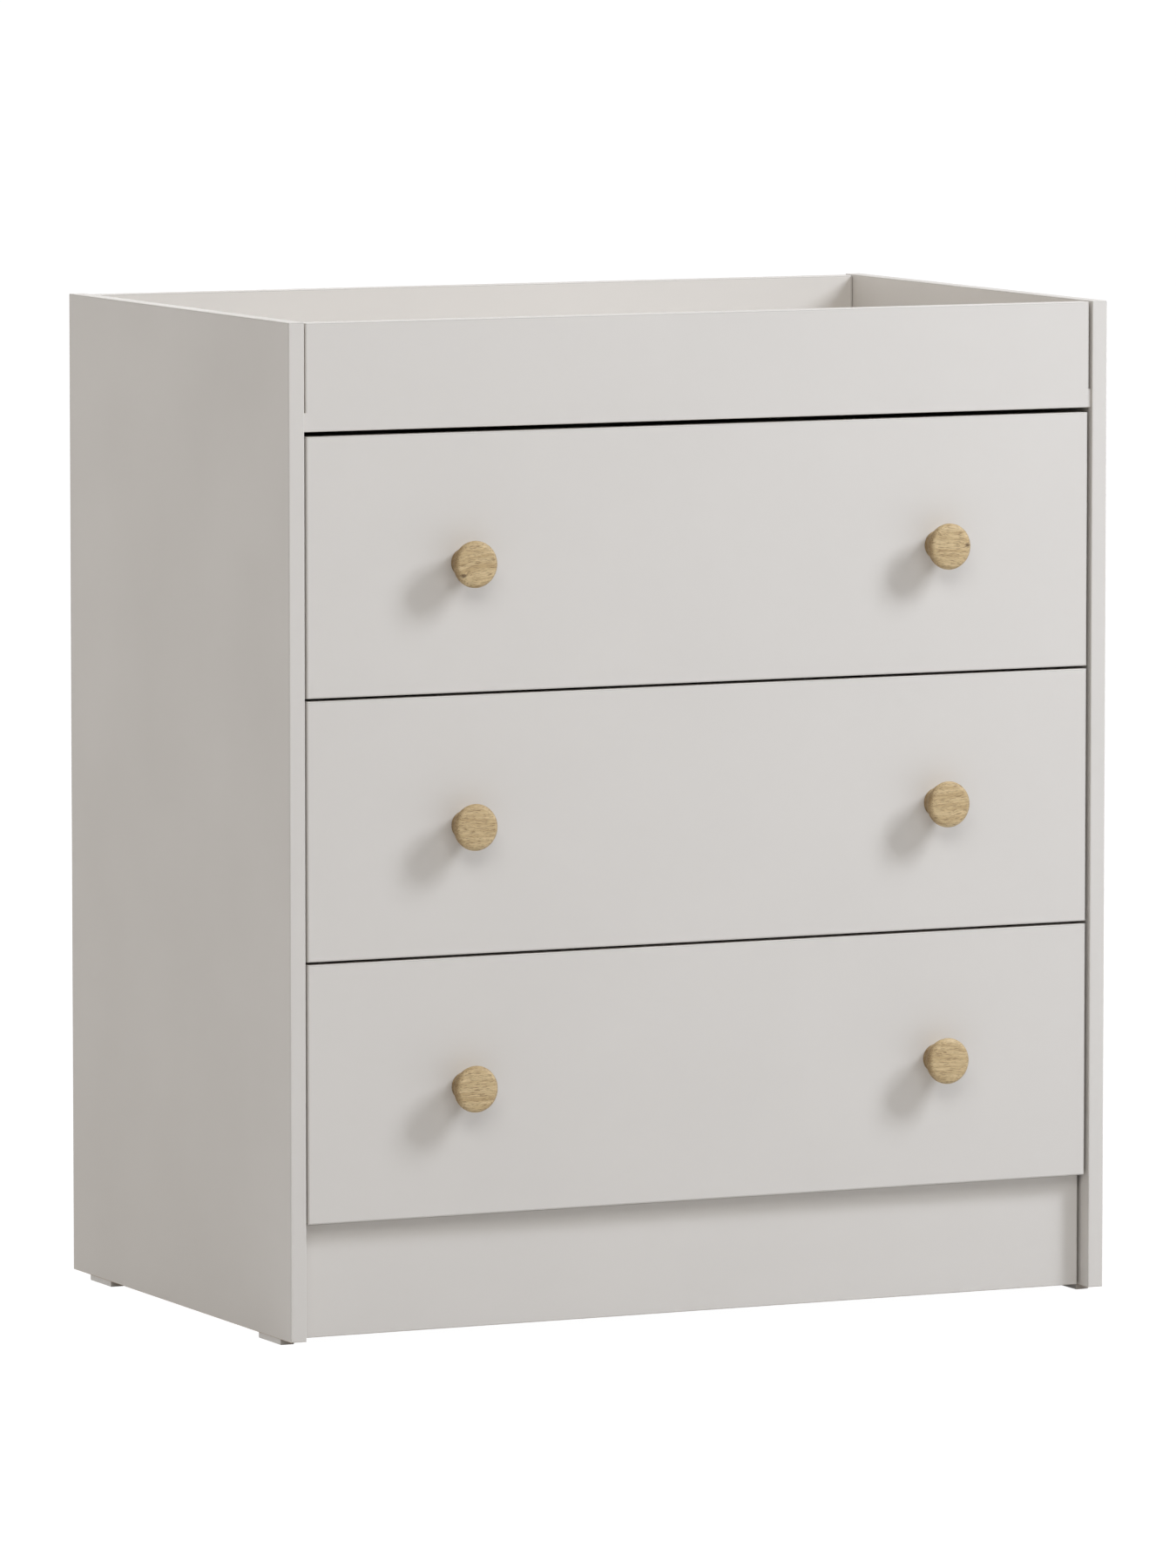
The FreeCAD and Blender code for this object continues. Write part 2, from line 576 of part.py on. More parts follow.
def add_screw(body, name, place, axis, sign, profile):
    """One screw whose tip points along an axis, forwards (1) or backwards (-1)."""
    x, y, z = place
    if axis == "x":
        corners = [(f"{sign} * ({along})", across) for along, across in profile]
        return turn(body, outline(body, name, "XY_Plane", corners, (x, y, z)), "H_Axis")
    corners = [(across, f"{sign} * ({along})") for along, across in profile]
    if axis == "y":
        return turn(body, outline(body, name, "XY_Plane", corners, (x, y, z)), "V_Axis")
    return turn(body, outline(body, name, "XZ_Plane", corners, (x, z, f"-({y})")), "V_Axis")


def carcass_screws():
    """The screws of the cabinet members, the corner blocks and the tray walls."""
    label = "carcass_screws"
    body = new_body(label, "0", "0", "0")
    web = f"(-{INNER_WIDTH} / 2 + steel_thickness)"
    place = (web, f"{BOX_FRONT} + runner_setback + first_screw", f"{LOWEST_BOX} + {CHANNEL_SCREW_RISE}")
    profile = pan_head("screw_radius", "screw_length - steel_thickness", "screw_head_radius",
                       "screw_head_height")
    runner = add_screw(body, label + "_runner", place, "x", -1, profile)
    repeat(body, [runner], [("Y_Axis", CHANNEL_SCREW_SPAN, 3), ("Z_Axis", f"2 * {DRAWER_PITCH}", 3),
                            ("YZ_Plane",)])
    profile = pan_head("screw_radius", "block_screw_length", "screw_head_radius", "screw_head_height")
    block_inner = f"(-{INNER_WIDTH} / 2 + block_size)"
    block_middle = f"(-{INNER_WIDTH} / 2 + block_size / 2)"
    low = f"glide_height + block_rise + {BLOCK_SCREW_RISE}"
    height = "glide_height + block_rise + block_height / 2"
    for name, sign, board in (("front", -1, BLOCK_ORIGIN), ("rear", 1, f"({BLOCK_ORIGIN} + {BLOCK_SPAN})")):
        middle = f"{board} - {sign} * block_size / 2"
        face = f"{board} - {sign} * block_size"
        to_panel = add_screw(body, f"{label}_{name}_panel", (block_inner, middle, low), "x", -1, profile)
        repeat(body, [to_panel], [("Z_Axis", "block_screw_spacing", 2), ("YZ_Plane",)])
        to_board = add_screw(body, f"{label}_{name}_board", (block_middle, face, height), "y", sign, profile)
        repeat(body, [to_board], [("YZ_Plane",)])
    profile = countersunk("wall_screw_radius", "wall_screw_length", "wall_screw_head - screw_play")
    wall_middles = (("lip", "tray_recess + wall_thickness / 2"), ("rear", "panel_depth - wall_thickness / 2"))
    for name, place in wall_middles:
        foot = ("-wall_screw_spacing / 2", f"{FRONT} + {place}", BOARD_UNDER)
        wall_screw = add_screw(body, f"{label}_{name}_wall", foot, "z", 1, profile)
        repeat(body, [wall_screw], [("X_Axis", "wall_screw_spacing", 4)])
    return body


def bolt_profile():
    """Half profile of a cam bolt: thread below zero, shank, neck and head above it."""
    neck = "(cam_distance - bolt_neck_length / 2)"
    head = "(cam_distance + bolt_neck_length / 2)"
    return [("-bolt_thread_length", "0"), ("-bolt_thread_length", "bolt_thread_radius"),
            ("0", "bolt_thread_radius"), ("0", "bolt_radius"), (neck, "bolt_radius"),
            (neck, "bolt_neck_radius"), (head, "bolt_neck_radius"), (head, "bolt_radius"),
            (head + " + bolt_head_length", "bolt_radius"), (head + " + bolt_head_length", "0")]


def board_fittings():
    """Cam bolts, cam discs and dowels between the changing board and the side panels."""
    label = "carcass_joint_fittings"
    body = new_body(label, "0", f"{FRONT} + tray_recess + board_cam_inset", f"{BOARD_UNDER}")
    end = f"(-{INNER_WIDTH} / 2)"
    level = "board_thickness / 2"
    middle = f"({end} + cam_distance)"
    disc_sketch = circles(body, label + "_disc", "XY_Plane", [(middle, "0")], "cam_radius")
    disc = pad(body, disc_sketch, "board_cam_depth")
    slot = rectangle(f"{middle} - cam_radius", f"{level} - cam_slot / 2",
                     f"{middle} + cam_radius - cam_wall", f"{level} + cam_slot / 2")
    slot_sketch = outline(body, label + "_slot", "XZ_Plane", slot, ("0", "0", "cam_slot / 2"))
    slot_cut = pocket(body, slot_sketch, "cam_slot")
    bolt_corners = [(f"{end} + {along}", across) for along, across in bolt_profile()]
    bolt_sketch = outline(body, label + "_bolt", "XY_Plane", bolt_corners, ("0", "0", level))
    bolt = turn(body, bolt_sketch, "H_Axis")
    dowel = rectangle(f"{end} - dowel_seat", "0", f"{end} + dowel_reach", "dowel_radius")
    dowel_sketch = outline(body, label + "_dowel", "XY_Plane", dowel, ("0", "dowel_offset", level))
    dowel_turn = turn(body, dowel_sketch, "H_Axis")
    repeat(body, [disc, slot_cut, bolt, dowel_turn], [("Y_Axis", "board_cam_spacing", 2), ("YZ_Plane",)])
    return body


def cabinet_member(label, side, level):
    """A channel on the side panel, with its riveted axle and its two stop tabs."""
    body = new_body(label, f"{side} * {INNER_WIDTH} / 2", f"{BOX_FRONT} + runner_setback", level)
    floor = f"({TRACK_RISE} - steel_thickness)"
    roof = f"({CHANNEL_ROOF} + steel_thickness)"
    reach = inward(side, "channel_reach")
    web = inward(side, "steel_thickness")
    channel = [("0", floor), (reach, floor), (reach, TRACK_RISE), (web, TRACK_RISE),
               (web, CHANNEL_ROOF), (reach, CHANNEL_ROOF), (reach, roof), ("0", roof)]
    pad(body, outline(body, label + "_channel", "XZ_Plane", channel), "runner_length", True)
    screws = [(f"first_screw + {step} * {CHANNEL_SCREW_SPAN} / 2", CHANNEL_SCREW_RISE) for step in (0, 1, 2)]
    screw_sketch = circles(body, label + "_screw_holes", "YZ_Plane", screws, SCREW_HOLE, ("0", "0", web))
    pocket(body, screw_sketch, "steel_thickness", side > 0)
    tab_low = inward(side, "channel_reach - stop_width")
    out_stop = f"{REAR_AXLE} - drawer_travel - {STOP_REACH} - stop_play - runner_setback"
    in_stop = f"{REAR_AXLE} + {STOP_REACH} + stop_play - runner_setback"
    for name, near, far in (("out", f"{out_stop} - steel_thickness", out_stop),
                            ("in", in_stop, f"{in_stop} + steel_thickness")):
        tab = outline(body, f"{label}_{name}_stop", "XY_Plane", rectangle(tab_low, near, reach, far),
                      ("0", "0", TRACK_RISE))
        pad(body, tab, "stop_height")
    rivet(body, label, side, "steel_thickness", 1, "roller_inset")
    return body


def rivet(body, label, side, face, sign, place):
    """The axle and head of a roller: it leaves a web at `face` and points inward (1) or
    outward (-1)."""
    neck = f"{face} + {sign} * (roller_side_play + roller_width + axle_end_play)"
    tip = f"{neck} + {sign} * axle_head_height"
    half = [(inward(side, face), "0"), (inward(side, face), "axle_radius"),
            (inward(side, neck), "axle_radius"), (inward(side, neck), "axle_head_radius"),
            (inward(side, tip), "axle_head_radius"), (inward(side, tip), "0")]
    sketch = outline(body, label + "_rivet", "XY_Plane", half, ("0", place, AXLE_RISE))
    return turn(body, sketch, "H_Axis")


def drawer_member(label, side, level):
    """The drawer's half of a runner: foot, web and running flange in one strip."""
    body = new_body(label, f"{side} * {INNER_WIDTH} / 2", BOX_FRONT, level)
    face = inward(side, "runner_space")
    web = inward(side, "runner_space - steel_thickness")
    foot = inward(side, "runner_space + foot_reach")
    hook = inward(side, "runner_space - hook_reach")
    top = "hook_height + steel_thickness"
    strip = [(foot, "-steel_thickness"), (foot, "0"), (face, "0"), (face, top), (hook, top),
             (hook, "hook_height"), (web, "hook_height"), (web, "-steel_thickness")]
    pad(body, outline(body, label + "_strip", "XZ_Plane", strip), "runner_length", True)
    screws = [(f"first_screw + {step} * {MEMBER_SCREW_SPACING}", MEMBER_SCREW_RISE) for step in (0, 1)]
    screw_sketch = circles(body, label + "_screw_holes", "YZ_Plane", screws, SCREW_HOLE, ("0", "0", face))
    pocket(body, screw_sketch, "steel_thickness", side > 0)
    rivet(body, label, side, "runner_space - steel_thickness", -1, REAR_AXLE)
    return body


def roller_pair(label, near, far, place, level):
    """Two nylon rollers on one line, between two distances from the side panels."""
    body = new_body(label, "0", place, f"{level} + {AXLE_RISE}")
    bore = "axle_radius + axle_play"
    rim = "roller_radius"
    outer = f"-{INNER_WIDTH} / 2 + {near}"
    inner = f"-{INNER_WIDTH} / 2 + {far}"
    ring = [(outer, bore), (outer, rim + " - roller_chamfer"), (outer + " + roller_chamfer", rim),
            (inner + " - roller_chamfer", rim), (inner, rim + " - roller_chamfer"), (inner, bore)]
    wheel = turn(body, outline(body, label + "_ring", "XY_Plane", ring), "H_Axis")
    repeat(body, [wheel], [("YZ_Plane",)])
    return body


def drawer_front(label, low):
    """A plain drawer front with its knob holes, cam bolt holes and bottom groove."""
    body = new_body(label, "0", f"{FRONT} + drawer_recess", low)
    half = f"({INNER_WIDTH} / 2 - drawer_side_gap)"
    face = outline(body, label + "_face", "XZ_Plane", rectangle(f"-{half}", "0", half, "front_height"))
    pad(body, face, "front_thickness", True)
    soften(body, "edge_radius", [("y", "0")])
    knobs = [(f"{hand} * knob_spacing / 2", "front_height / 2") for hand in (-1, 1)]
    knob_hole = "knob_screw_radius + knob_screw_play"
    knob_sketch = circles(body, label + "_knob_holes", "XZ_Plane", knobs, knob_hole)
    pocket(body, knob_sketch, "front_thickness")
    behind = ("0", "0", "-front_thickness")
    end = f"({BOX_WIDTH} / 2)"
    groove = rectangle(f"-{end} + box_thickness - bottom_groove_depth", "box_rise + bottom_rise",
                       f"{end} - box_thickness + bottom_groove_depth",
                       f"box_rise + bottom_rise + {BOTTOM_GROOVE}")
    pocket(body, outline(body, label + "_groove", "XZ_Plane", groove, behind), "bottom_groove_depth", True)
    bolts = [(f"{hand} * ({end} - box_thickness / 2)", f"box_rise + box_cam_rise + {step} * box_cam_spacing")
             for hand in (-1, 1) for step in (0, 1)]
    bolt_hole = "bolt_thread_radius + fitting_play"
    bolt_sketch = circles(body, label + "_bolts", "XZ_Plane", bolts, bolt_hole, behind)
    pocket(body, bolt_sketch, "bolt_thread_length + fitting_play", True)
    return body


def drawer_side(label, side, level):
    """A drawer side; local X zero is its outer face."""
    body = new_body(label, f"{side} * {BOX_WIDTH} / 2", BOX_FRONT, level)
    face = outline(body, label + "_face", "YZ_Plane", rectangle("0", "0", "box_depth", "box_height"))
    pad(body, face, "box_thickness", side > 0)
    inner = ("0", "0", inward(side, "box_thickness"))
    groove = rectangle("0", "bottom_rise", "box_depth", f"bottom_rise + {BOTTOM_GROOVE}")
    groove_sketch = outline(body, label + "_groove", "YZ_Plane", groove, inner)
    pocket(body, groove_sketch, "bottom_groove_depth", side > 0)
    rises = [f"box_cam_rise + {step} * box_cam_spacing" for step in (0, 1)]
    seats = circles(body, label + "_seats", "YZ_Plane", [("cam_distance", rise) for rise in rises],
                    "cam_radius + fitting_play", inner)
    pocket(body, seats, "box_cam_depth + fitting_play", side > 0)
    middle = inward(side, "box_thickness / 2")
    channels = circles(body, label + "_channels", "XZ_Plane", [(middle, rise) for rise in rises],
                       "bolt_radius + fitting_play")
    pocket(body, channels, "cam_distance")
    member = [(f"first_screw + {step} * {MEMBER_SCREW_SPACING}", MEMBER_SCREW_RISE) for step in (0, 1)]
    member_sketch = circles(body, label + "_member_holes", "YZ_Plane", member, SCREW_HOLE)
    pocket(body, member_sketch, MEMBER_SCREW_LENGTH, side < 0)
    corner = [("box_depth - box_thickness / 2", f"corner_screw_rise + {step} * corner_screw_spacing")
              for step in (0, 1)]
    corner_sketch = circles(body, label + "_corner_holes", "YZ_Plane", corner, SCREW_HOLE)
    pocket(body, corner_sketch, "box_thickness", side < 0)
    return body


def drawer_back(label, level):
    """The drawer back, standing on the bottom panel between the sides."""
    low = f"bottom_rise + {BOTTOM_GROOVE}"
    body = new_body(label, "0", f"{BOX_FRONT} + box_depth - box_thickness", f"{level} + {low}")
    half = f"({BOX_WIDTH} / 2 - box_thickness)"
    top = f"box_height - ({low})"
    face = outline(body, label + "_face", "XZ_Plane", rectangle(f"-{half}", "0", half, top))
    pad(body, face, "box_thickness", True)
    holes = [("box_thickness / 2", f"corner_screw_rise - ({low}) + {step} * corner_screw_spacing")
             for step in (0, 1)]
    sketch = circles(body, label + "_corner_holes", "YZ_Plane", holes, SCREW_HOLE, ("0", "0", half))
    pilots = pocket(body, sketch, "corner_screw_length - box_thickness + pilot_play")
    repeat(body, [pilots], [("YZ_Plane",)])
    return body


def drawer_bottom(label, level):
    """The drawer bottom in the grooves of the front and the sides."""
    body = new_body(label, "0", BOX_FRONT, f"{level} + bottom_rise + bottom_play / 2")
    half = f"({BOX_WIDTH} / 2 - box_thickness + bottom_groove_depth - bottom_end_play)"
    front = "bottom_end_play - bottom_groove_depth"
    face = outline(body, label + "_face", "XY_Plane", rectangle(f"-{half}", front, half, "box_depth"))
    pad(body, face, "bottom_thickness")
    return body


def knob(label, hand, low):
    """A turned wooden knob: foot, hollow flare, rounded rim and faintly domed face."""
    body = new_body(label, f"{hand} * knob_spacing / 2", f"{FRONT} + drawer_recess",
                    f"{low} + front_height / 2")
    belly = "knob_diameter / 2"
    face = "knob_face_diameter / 2"
    hole = "knob_screw_radius"
    dome_radius = "(knob_face_diameter ^ 2 / (8 * knob_dome) + knob_dome / 2)"
    half = [(hole, "0"), ("knob_foot_diameter / 2", "0"),
            ("knob_foot_diameter / 2", "-knob_neck", "knob_flare_radius"),
            (belly, "-knob_belly", "-knob_rim_radius"),
            (face, "-knob_length", "-" + dome_radius),
            ("0", "-knob_length - knob_dome"), ("0", "-knob_hole_depth"), (hole, "-knob_hole_depth")]
    turn(body, outline(body, label + "_profile", "XY_Plane", half), "V_Axis")
    return body


def drawer_screws(label, level):
    """A drawer's runner screws, box corner screws and knob screws."""
    body = new_body(label, "0", BOX_FRONT, level)
    web = f"(-{INNER_WIDTH} / 2 + runner_space - steel_thickness)"
    profile = pan_head("screw_radius", MEMBER_SCREW_LENGTH, "screw_head_radius", "screw_head_height")
    runner = add_screw(body, label + "_runner", (web, "first_screw", MEMBER_SCREW_RISE), "x", 1, profile)
    repeat(body, [runner], [("Y_Axis", MEMBER_SCREW_SPACING, 2), ("YZ_Plane",)])
    corner_place = (f"-{BOX_WIDTH} / 2", "box_depth - box_thickness / 2", "corner_screw_rise")
    profile = pan_head("screw_radius", "corner_screw_length", "screw_head_radius", "screw_head_height")
    corner = add_screw(body, label + "_corner", corner_place, "x", 1, profile)
    repeat(body, [corner], [("Z_Axis", "corner_screw_spacing", 2), ("YZ_Plane",)])
    profile = pan_head("knob_screw_radius - screw_play", "front_thickness + knob_screw_reach",
                       "knob_screw_head", "knob_screw_head_height")
    knob_place = ("-knob_spacing / 2", "0", "front_height / 2 - box_rise")
    knob_screw = add_screw(body, label + "_knob", knob_place, "y", -1, profile)
    repeat(body, [knob_screw], [("YZ_Plane",)])
    return body


def box_fittings(label, level):
    """The cam bolts and cam discs that hold a drawer's sides to its front."""
    body = new_body(label, "0", BOX_FRONT, f"{level} + box_cam_rise")
    middle = f"(-{BOX_WIDTH} / 2 + box_thickness / 2)"
    inner = f"(-{BOX_WIDTH} / 2 + box_thickness)"
    disc_sketch = circles(body, label + "_disc", "YZ_Plane", [("cam_distance", "0")], "cam_radius",
                          ("0", "0", inner))
    disc = pad(body, disc_sketch, "box_cam_depth", True)
    slot = rectangle("cam_distance - cam_radius", "-cam_slot / 2", "cam_distance + cam_radius - cam_wall",
                     "cam_slot / 2")
    slot_sketch = outline(body, label + "_slot", "YZ_Plane", slot, ("0", "0", f"{middle} + cam_slot / 2"))
    slot_cut = pocket(body, slot_sketch, "cam_slot")
    corners = [(across, along) for along, across in bolt_profile()]
    bolt = turn(body, outline(body, label + "_bolt", "XY_Plane", corners, (middle, "0", "0")), "V_Axis")
    repeat(body, [disc, slot_cut, bolt], [("Z_Axis", "box_cam_spacing", 2), ("YZ_Plane",)])
    return body


pieces = []
for hand, side in (("left", -1), ("right", 1)):
    pieces.append(side_panel(f"side_panel_{hand}", side))
    pieces.append(glide(f"glide_front_{hand}", side, f"{FRONT} + front_glide_setback + glide_length / 2"))
    pieces.append(glide(f"glide_rear_{hand}", side,
                        f"{FRONT} + panel_depth - rear_glide_setback - glide_length / 2"))
pieces.append(changing_board())
pieces.append(tray_wall("tray_front_lip", "lip_end_gap", f"{FRONT} + tray_recess",
                        [("y", "0"), ("z", "wall_height")]))
pieces.append(tray_wall("tray_back_board", "back_end_gap", f"{FRONT} + panel_depth - wall_thickness",
                        [("z", "wall_height")]))
pieces.append(plinth_board())
pieces.append(rear_rail())
pieces.append(back_panel())
pieces.append(corner_blocks())
pieces.append(board_fittings())
pieces.append(carcass_screws())
for order, name in enumerate(("lower", "middle", "upper")):
    low = f"({LOWEST_FRONT} + {order} * {DRAWER_PITCH})"
    level = f"({low} + box_rise)"
    for hand, side in (("left", -1), ("right", 1)):
        pieces.append(cabinet_member(f"{name}_cabinet_runner_{hand}", side, level))
        pieces.append(drawer_member(f"{name}_drawer_runner_{hand}", side, level))
        pieces.append(drawer_side(f"{name}_drawer_side_{hand}", side, level))
        pieces.append(knob(f"{name}_knob_{hand}", side, low))
    near = "steel_thickness + roller_side_play"
    pieces.append(roller_pair(f"{name}_front_rollers", near, near + " + roller_width",
                              f"{BOX_FRONT} + {FRONT_AXLE}", level))
    far = "runner_space - steel_thickness - roller_side_play"
    pieces.append(roller_pair(f"{name}_rear_rollers", far + " - roller_width", far,
                              f"{BOX_FRONT} + {REAR_AXLE}", level))
    pieces.append(drawer_front(f"{name}_drawer_front", low))
    pieces.append(drawer_back(f"{name}_drawer_back", level))
    pieces.append(drawer_bottom(f"{name}_drawer_bottom", level))
    pieces.append(box_fittings(f"{name}_drawer_cam_fittings", level))
    pieces.append(drawer_screws(f"{name}_drawer_screws", level))
doc.recompute()

for thing in doc.Objects:
    if "Invalid" in thing.State or "Error" in thing.State:
        raise RuntimeError("failed object: " + thing.Name)
for piece in pieces:
    if piece.Shape.isNull() or not piece.Shape.isValid():
        raise RuntimeError("bad shape: " + piece.Label)

os.makedirs("parts", exist_ok=True)
for piece in pieces:
    piece.Shape.exportStep("parts/" + piece.Label + ".step")
print(len(pieces), "pieces written")
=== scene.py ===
import math

import bpy
import numpy as np
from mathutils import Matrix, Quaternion, Vector


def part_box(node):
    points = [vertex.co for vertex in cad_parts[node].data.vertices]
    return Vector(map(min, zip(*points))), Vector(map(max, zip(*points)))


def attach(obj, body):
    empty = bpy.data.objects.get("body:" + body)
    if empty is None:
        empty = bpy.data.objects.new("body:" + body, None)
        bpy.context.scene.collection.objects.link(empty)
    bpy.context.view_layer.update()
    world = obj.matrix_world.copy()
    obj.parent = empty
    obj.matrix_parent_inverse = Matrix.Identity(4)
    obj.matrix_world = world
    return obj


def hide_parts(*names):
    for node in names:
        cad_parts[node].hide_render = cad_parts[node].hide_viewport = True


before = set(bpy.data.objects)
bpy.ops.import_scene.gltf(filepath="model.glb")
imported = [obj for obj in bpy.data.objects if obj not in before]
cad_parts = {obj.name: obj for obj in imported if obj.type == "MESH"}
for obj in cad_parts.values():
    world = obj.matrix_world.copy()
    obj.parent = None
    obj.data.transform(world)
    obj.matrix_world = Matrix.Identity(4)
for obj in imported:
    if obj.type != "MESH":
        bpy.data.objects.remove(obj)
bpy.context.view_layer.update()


# ---- Side panels ----
# Two 16 mm particle boards faced with a matt foil. A 1 mm band of the same colour is
# glued round the front, top and rear edges, and the lower edge above the glides is raw.
FOIL_COLOUR = (0.672, 0.638, 0.592, 1)
FOIL_CLOUD_SHADE = 0.985
FOIL_JOINT_SHADE = 0.62
FOIL_RELIEF = 0.00012
CHIP_COLOUR = (0.50, 0.35, 0.20, 1)
CHIPS_TO_THE_METRE = 520
BAND_THICKNESS = 0.001
SEAM_HALF_WIDTH = 0.00009
CUT_SKIN = 0.00025


def new_finish(name):
    """An empty material, its node tree and its output node."""
    finish = bpy.data.materials.new(name)
    finish.use_nodes = True
    tree = finish.node_tree
    tree.nodes.clear()
    return finish, tree, tree.nodes.new("ShaderNodeOutputMaterial")


def add(tree, kind, settings=None, **inputs):
    """One shader node. Settings are its own choices; an input is a value or a socket."""
    made = tree.nodes.new("ShaderNode" + kind)
    for name, value in (settings or {}).items():
        setattr(made, name, value)
    for name, value in inputs.items():
        socket = made.inputs[int(name[1:]) if name[1:].isdigit() else name.replace("_", " ")]
        if isinstance(value, bpy.types.NodeSocket):
            tree.links.new(value, socket)
        else:
            socket.default_value = value
    return made


def calculate(tree, operation, first, second=0.0):
    """The result socket of one sum on two values or sockets."""
    return add(tree, "Math", {"operation": operation}, i0=first, i1=second).outputs[0]


def away_from(tree, value, place):
    """How far a value lies from a place, to either side."""
    return calculate(tree, "ABSOLUTE", calculate(tree, "SUBTRACT", value, place))


def spread(tree, value, low, high, to_low, to_high):
    """A value between low and high, carried over to the range to_low to to_high."""
    return add(tree, "MapRange", None, Value=value, From_Min=low, From_Max=high,
               To_Min=to_low, To_Max=to_high).outputs["Result"]


def noise(tree, place, scale, detail=2.0, roughness=0.5):
    """A noise field of that many waves to the metre."""
    return add(tree, "TexNoise", None, Vector=place, Scale=scale, Detail=detail,
               Roughness=roughness).outputs["Fac"]


def noise_spread(tree, field, to_low, to_high):
    """A noise field, which mostly lies between 0.3 and 0.7, carried over to a range."""
    return spread(tree, field, 0.3, 0.7, to_low, to_high)


def stretched(tree, place, scale):
    """A place multiplied on each axis. A pattern in it runs long where that is small."""
    return add(tree, "Mapping", None, Vector=place, Scale=scale).outputs[0]


def shade(colour, share):
    """A colour whose red, green and blue are multiplied by a share."""
    return tuple(share * c for c in colour[:3]) + (1,)


def blend_colours(tree, share, first, second, mode="MIX"):
    """Two colours mixed by a share from 0 to 1."""
    return add(tree, "MixRGB", {"blend_type": mode}, Fac=share, Color1=first,
               Color2=second).outputs["Color"]


def seam_lines(tree, place, seams):
    """1 on the hairline joints of the edge bands, 0 elsewhere: the largest of one ridge
    for each seam, and a seam is an axis and its place on that axis."""
    split = add(tree, "SeparateXYZ", None, Vector=place)
    lines = None
    for axis, position in seams:
        away = away_from(tree, split.outputs[axis], position)
        ridge = spread(tree, away, SEAM_HALF_WIDTH, 2 * SEAM_HALF_WIDTH, 1, 0)
        lines = ridge if lines is None else calculate(tree, "MAXIMUM", lines, ridge)
    return lines


def bare_chips(tree, place, colour, cuts):
    """A colour with bare wood chips past each cut of a board. A cut is an axis, a place
    on it and the side that is bare."""
    split = add(tree, "SeparateXYZ", None, Vector=place)
    chips = add(tree, "TexVoronoi", None, Vector=place, Scale=CHIPS_TO_THE_METRE)
    brightness = spread(tree, chips.outputs["Distance"], 0, 0.7, 1.15, 0.6)
    wood = add(tree, "HueSaturation", None, Value=brightness, Color=CHIP_COLOUR).outputs["Color"]
    for axis, position, bare_side in cuts:
        bare = calculate(tree, bare_side, split.outputs[axis], position)
        colour = blend_colours(tree, bare, colour, wood)
    return colour


def coat(tree, output, colour, height, strength, relief, **skin):
    """The surface that a finish ends in. Its relief is the depth of a height of 1."""
    bump = add(tree, "Bump", None, Strength=strength, Distance=relief, Height=height)
    surface = add(tree, "BsdfPrincipled", None, Base_Color=colour,
                  Normal=bump.outputs["Normal"], **skin)
    tree.links.new(surface.outputs[0], output.inputs["Surface"])


def foil_finish(name, seams, cuts=()):
    """Matt foil: an even warm grey with faint cloudiness, a fine pearl in the surface
    and the hairline joints of its edge bands."""
    finish, tree, output = new_finish(name)
    place = add(tree, "TexCoord").outputs["Object"]
    clouds = noise(tree, place, 7, 2)
    pearl = noise(tree, place, 1700, 2, 0.6)
    lines = seam_lines(tree, place, seams)
    colour = blend_colours(tree, noise_spread(tree, clouds, 0, 1), FOIL_COLOUR,
                           shade(FOIL_COLOUR, FOIL_CLOUD_SHADE))
    colour = blend_colours(tree, lines, colour, shade(FOIL_COLOUR, FOIL_JOINT_SHADE))
    if cuts:
        colour = bare_chips(tree, place, colour, cuts)
    height = calculate(tree, "SUBTRACT", calculate(tree, "MULTIPLY", pearl, 0.06), lines)
    coat(tree, output, colour, height, 0.35, FOIL_RELIEF,
         Roughness=noise_spread(tree, clouds, 0.56, 0.64), Specular_IOR_Level=0.25)
    return finish


def dress(node, finish):
    """Give a carried-over solid its finish."""
    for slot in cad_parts[node].material_slots:
        slot.material = finish


for hand in ("left", "right"):
    low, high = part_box(f"side_panel_{hand}")
    bands = [("Y", low.y + BAND_THICKNESS), ("Y", high.y - BAND_THICKNESS),
             ("Z", high.z - BAND_THICKNESS)]
    cuts = [("Z", low.z + CUT_SKIN, "LESS_THAN")]
    dress(f"side_panel_{hand}", foil_finish(f"side_panel_{hand}_foil", bands, cuts))


# ---- Changing board and tray walls ----
# The board lies between the side panels on cam bolts. The front lip and the back board
# stand on it, screwed from below, and make the well for a changing mat.
low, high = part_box("changing_board")
dress("changing_board", foil_finish("changing_board_foil", [("Y", low.y + BAND_THICKNESS)]))
for wall in ("tray_front_lip", "tray_back_board"):
    low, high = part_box(wall)
    bands = [("X", low.x + BAND_THICKNESS), ("X", high.x - BAND_THICKNESS),
             ("Z", high.z - BAND_THICKNESS)]
    dress(wall, foil_finish(wall + "_foil", bands))


# ---- Plinth and rear rail ----
# The plinth stands back under the lower drawer. Both boards are banded along the top
# and raw along the lower edge, a few millimetres above the floor.
for board in ("plinth_board", "rear_rail"):
    low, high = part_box(board)
    bands = [("Z", high.z - BAND_THICKNESS)]
    cuts = [("Z", low.z + CUT_SKIN, "LESS_THAN")]
    dress(board, foil_finish(board + "_foil", bands, cuts))


# ---- Hardboard back and drawer bottoms ----
# 3 and 4 mm hardboard: painted on the good side, bare brown fibre on the other, where
# the wire of the press has left its mesh.
HARDBOARD_BROWN = (0.205, 0.118, 0.062, 1)
# Painted shade: the near-black brown that darkens the hollows of the press wire's mesh
MESH_HOLLOW_SHADE = (0.05, 0.03, 0.016, 1)
HARDBOARD_RELIEF = 0.0003
PAINT_DEPTH = 0.0004
WAVES_TO_THE_MM = 0.62
TURN_OF_A_WAVE = 6283  # 2 pi over a millimetre, in metres


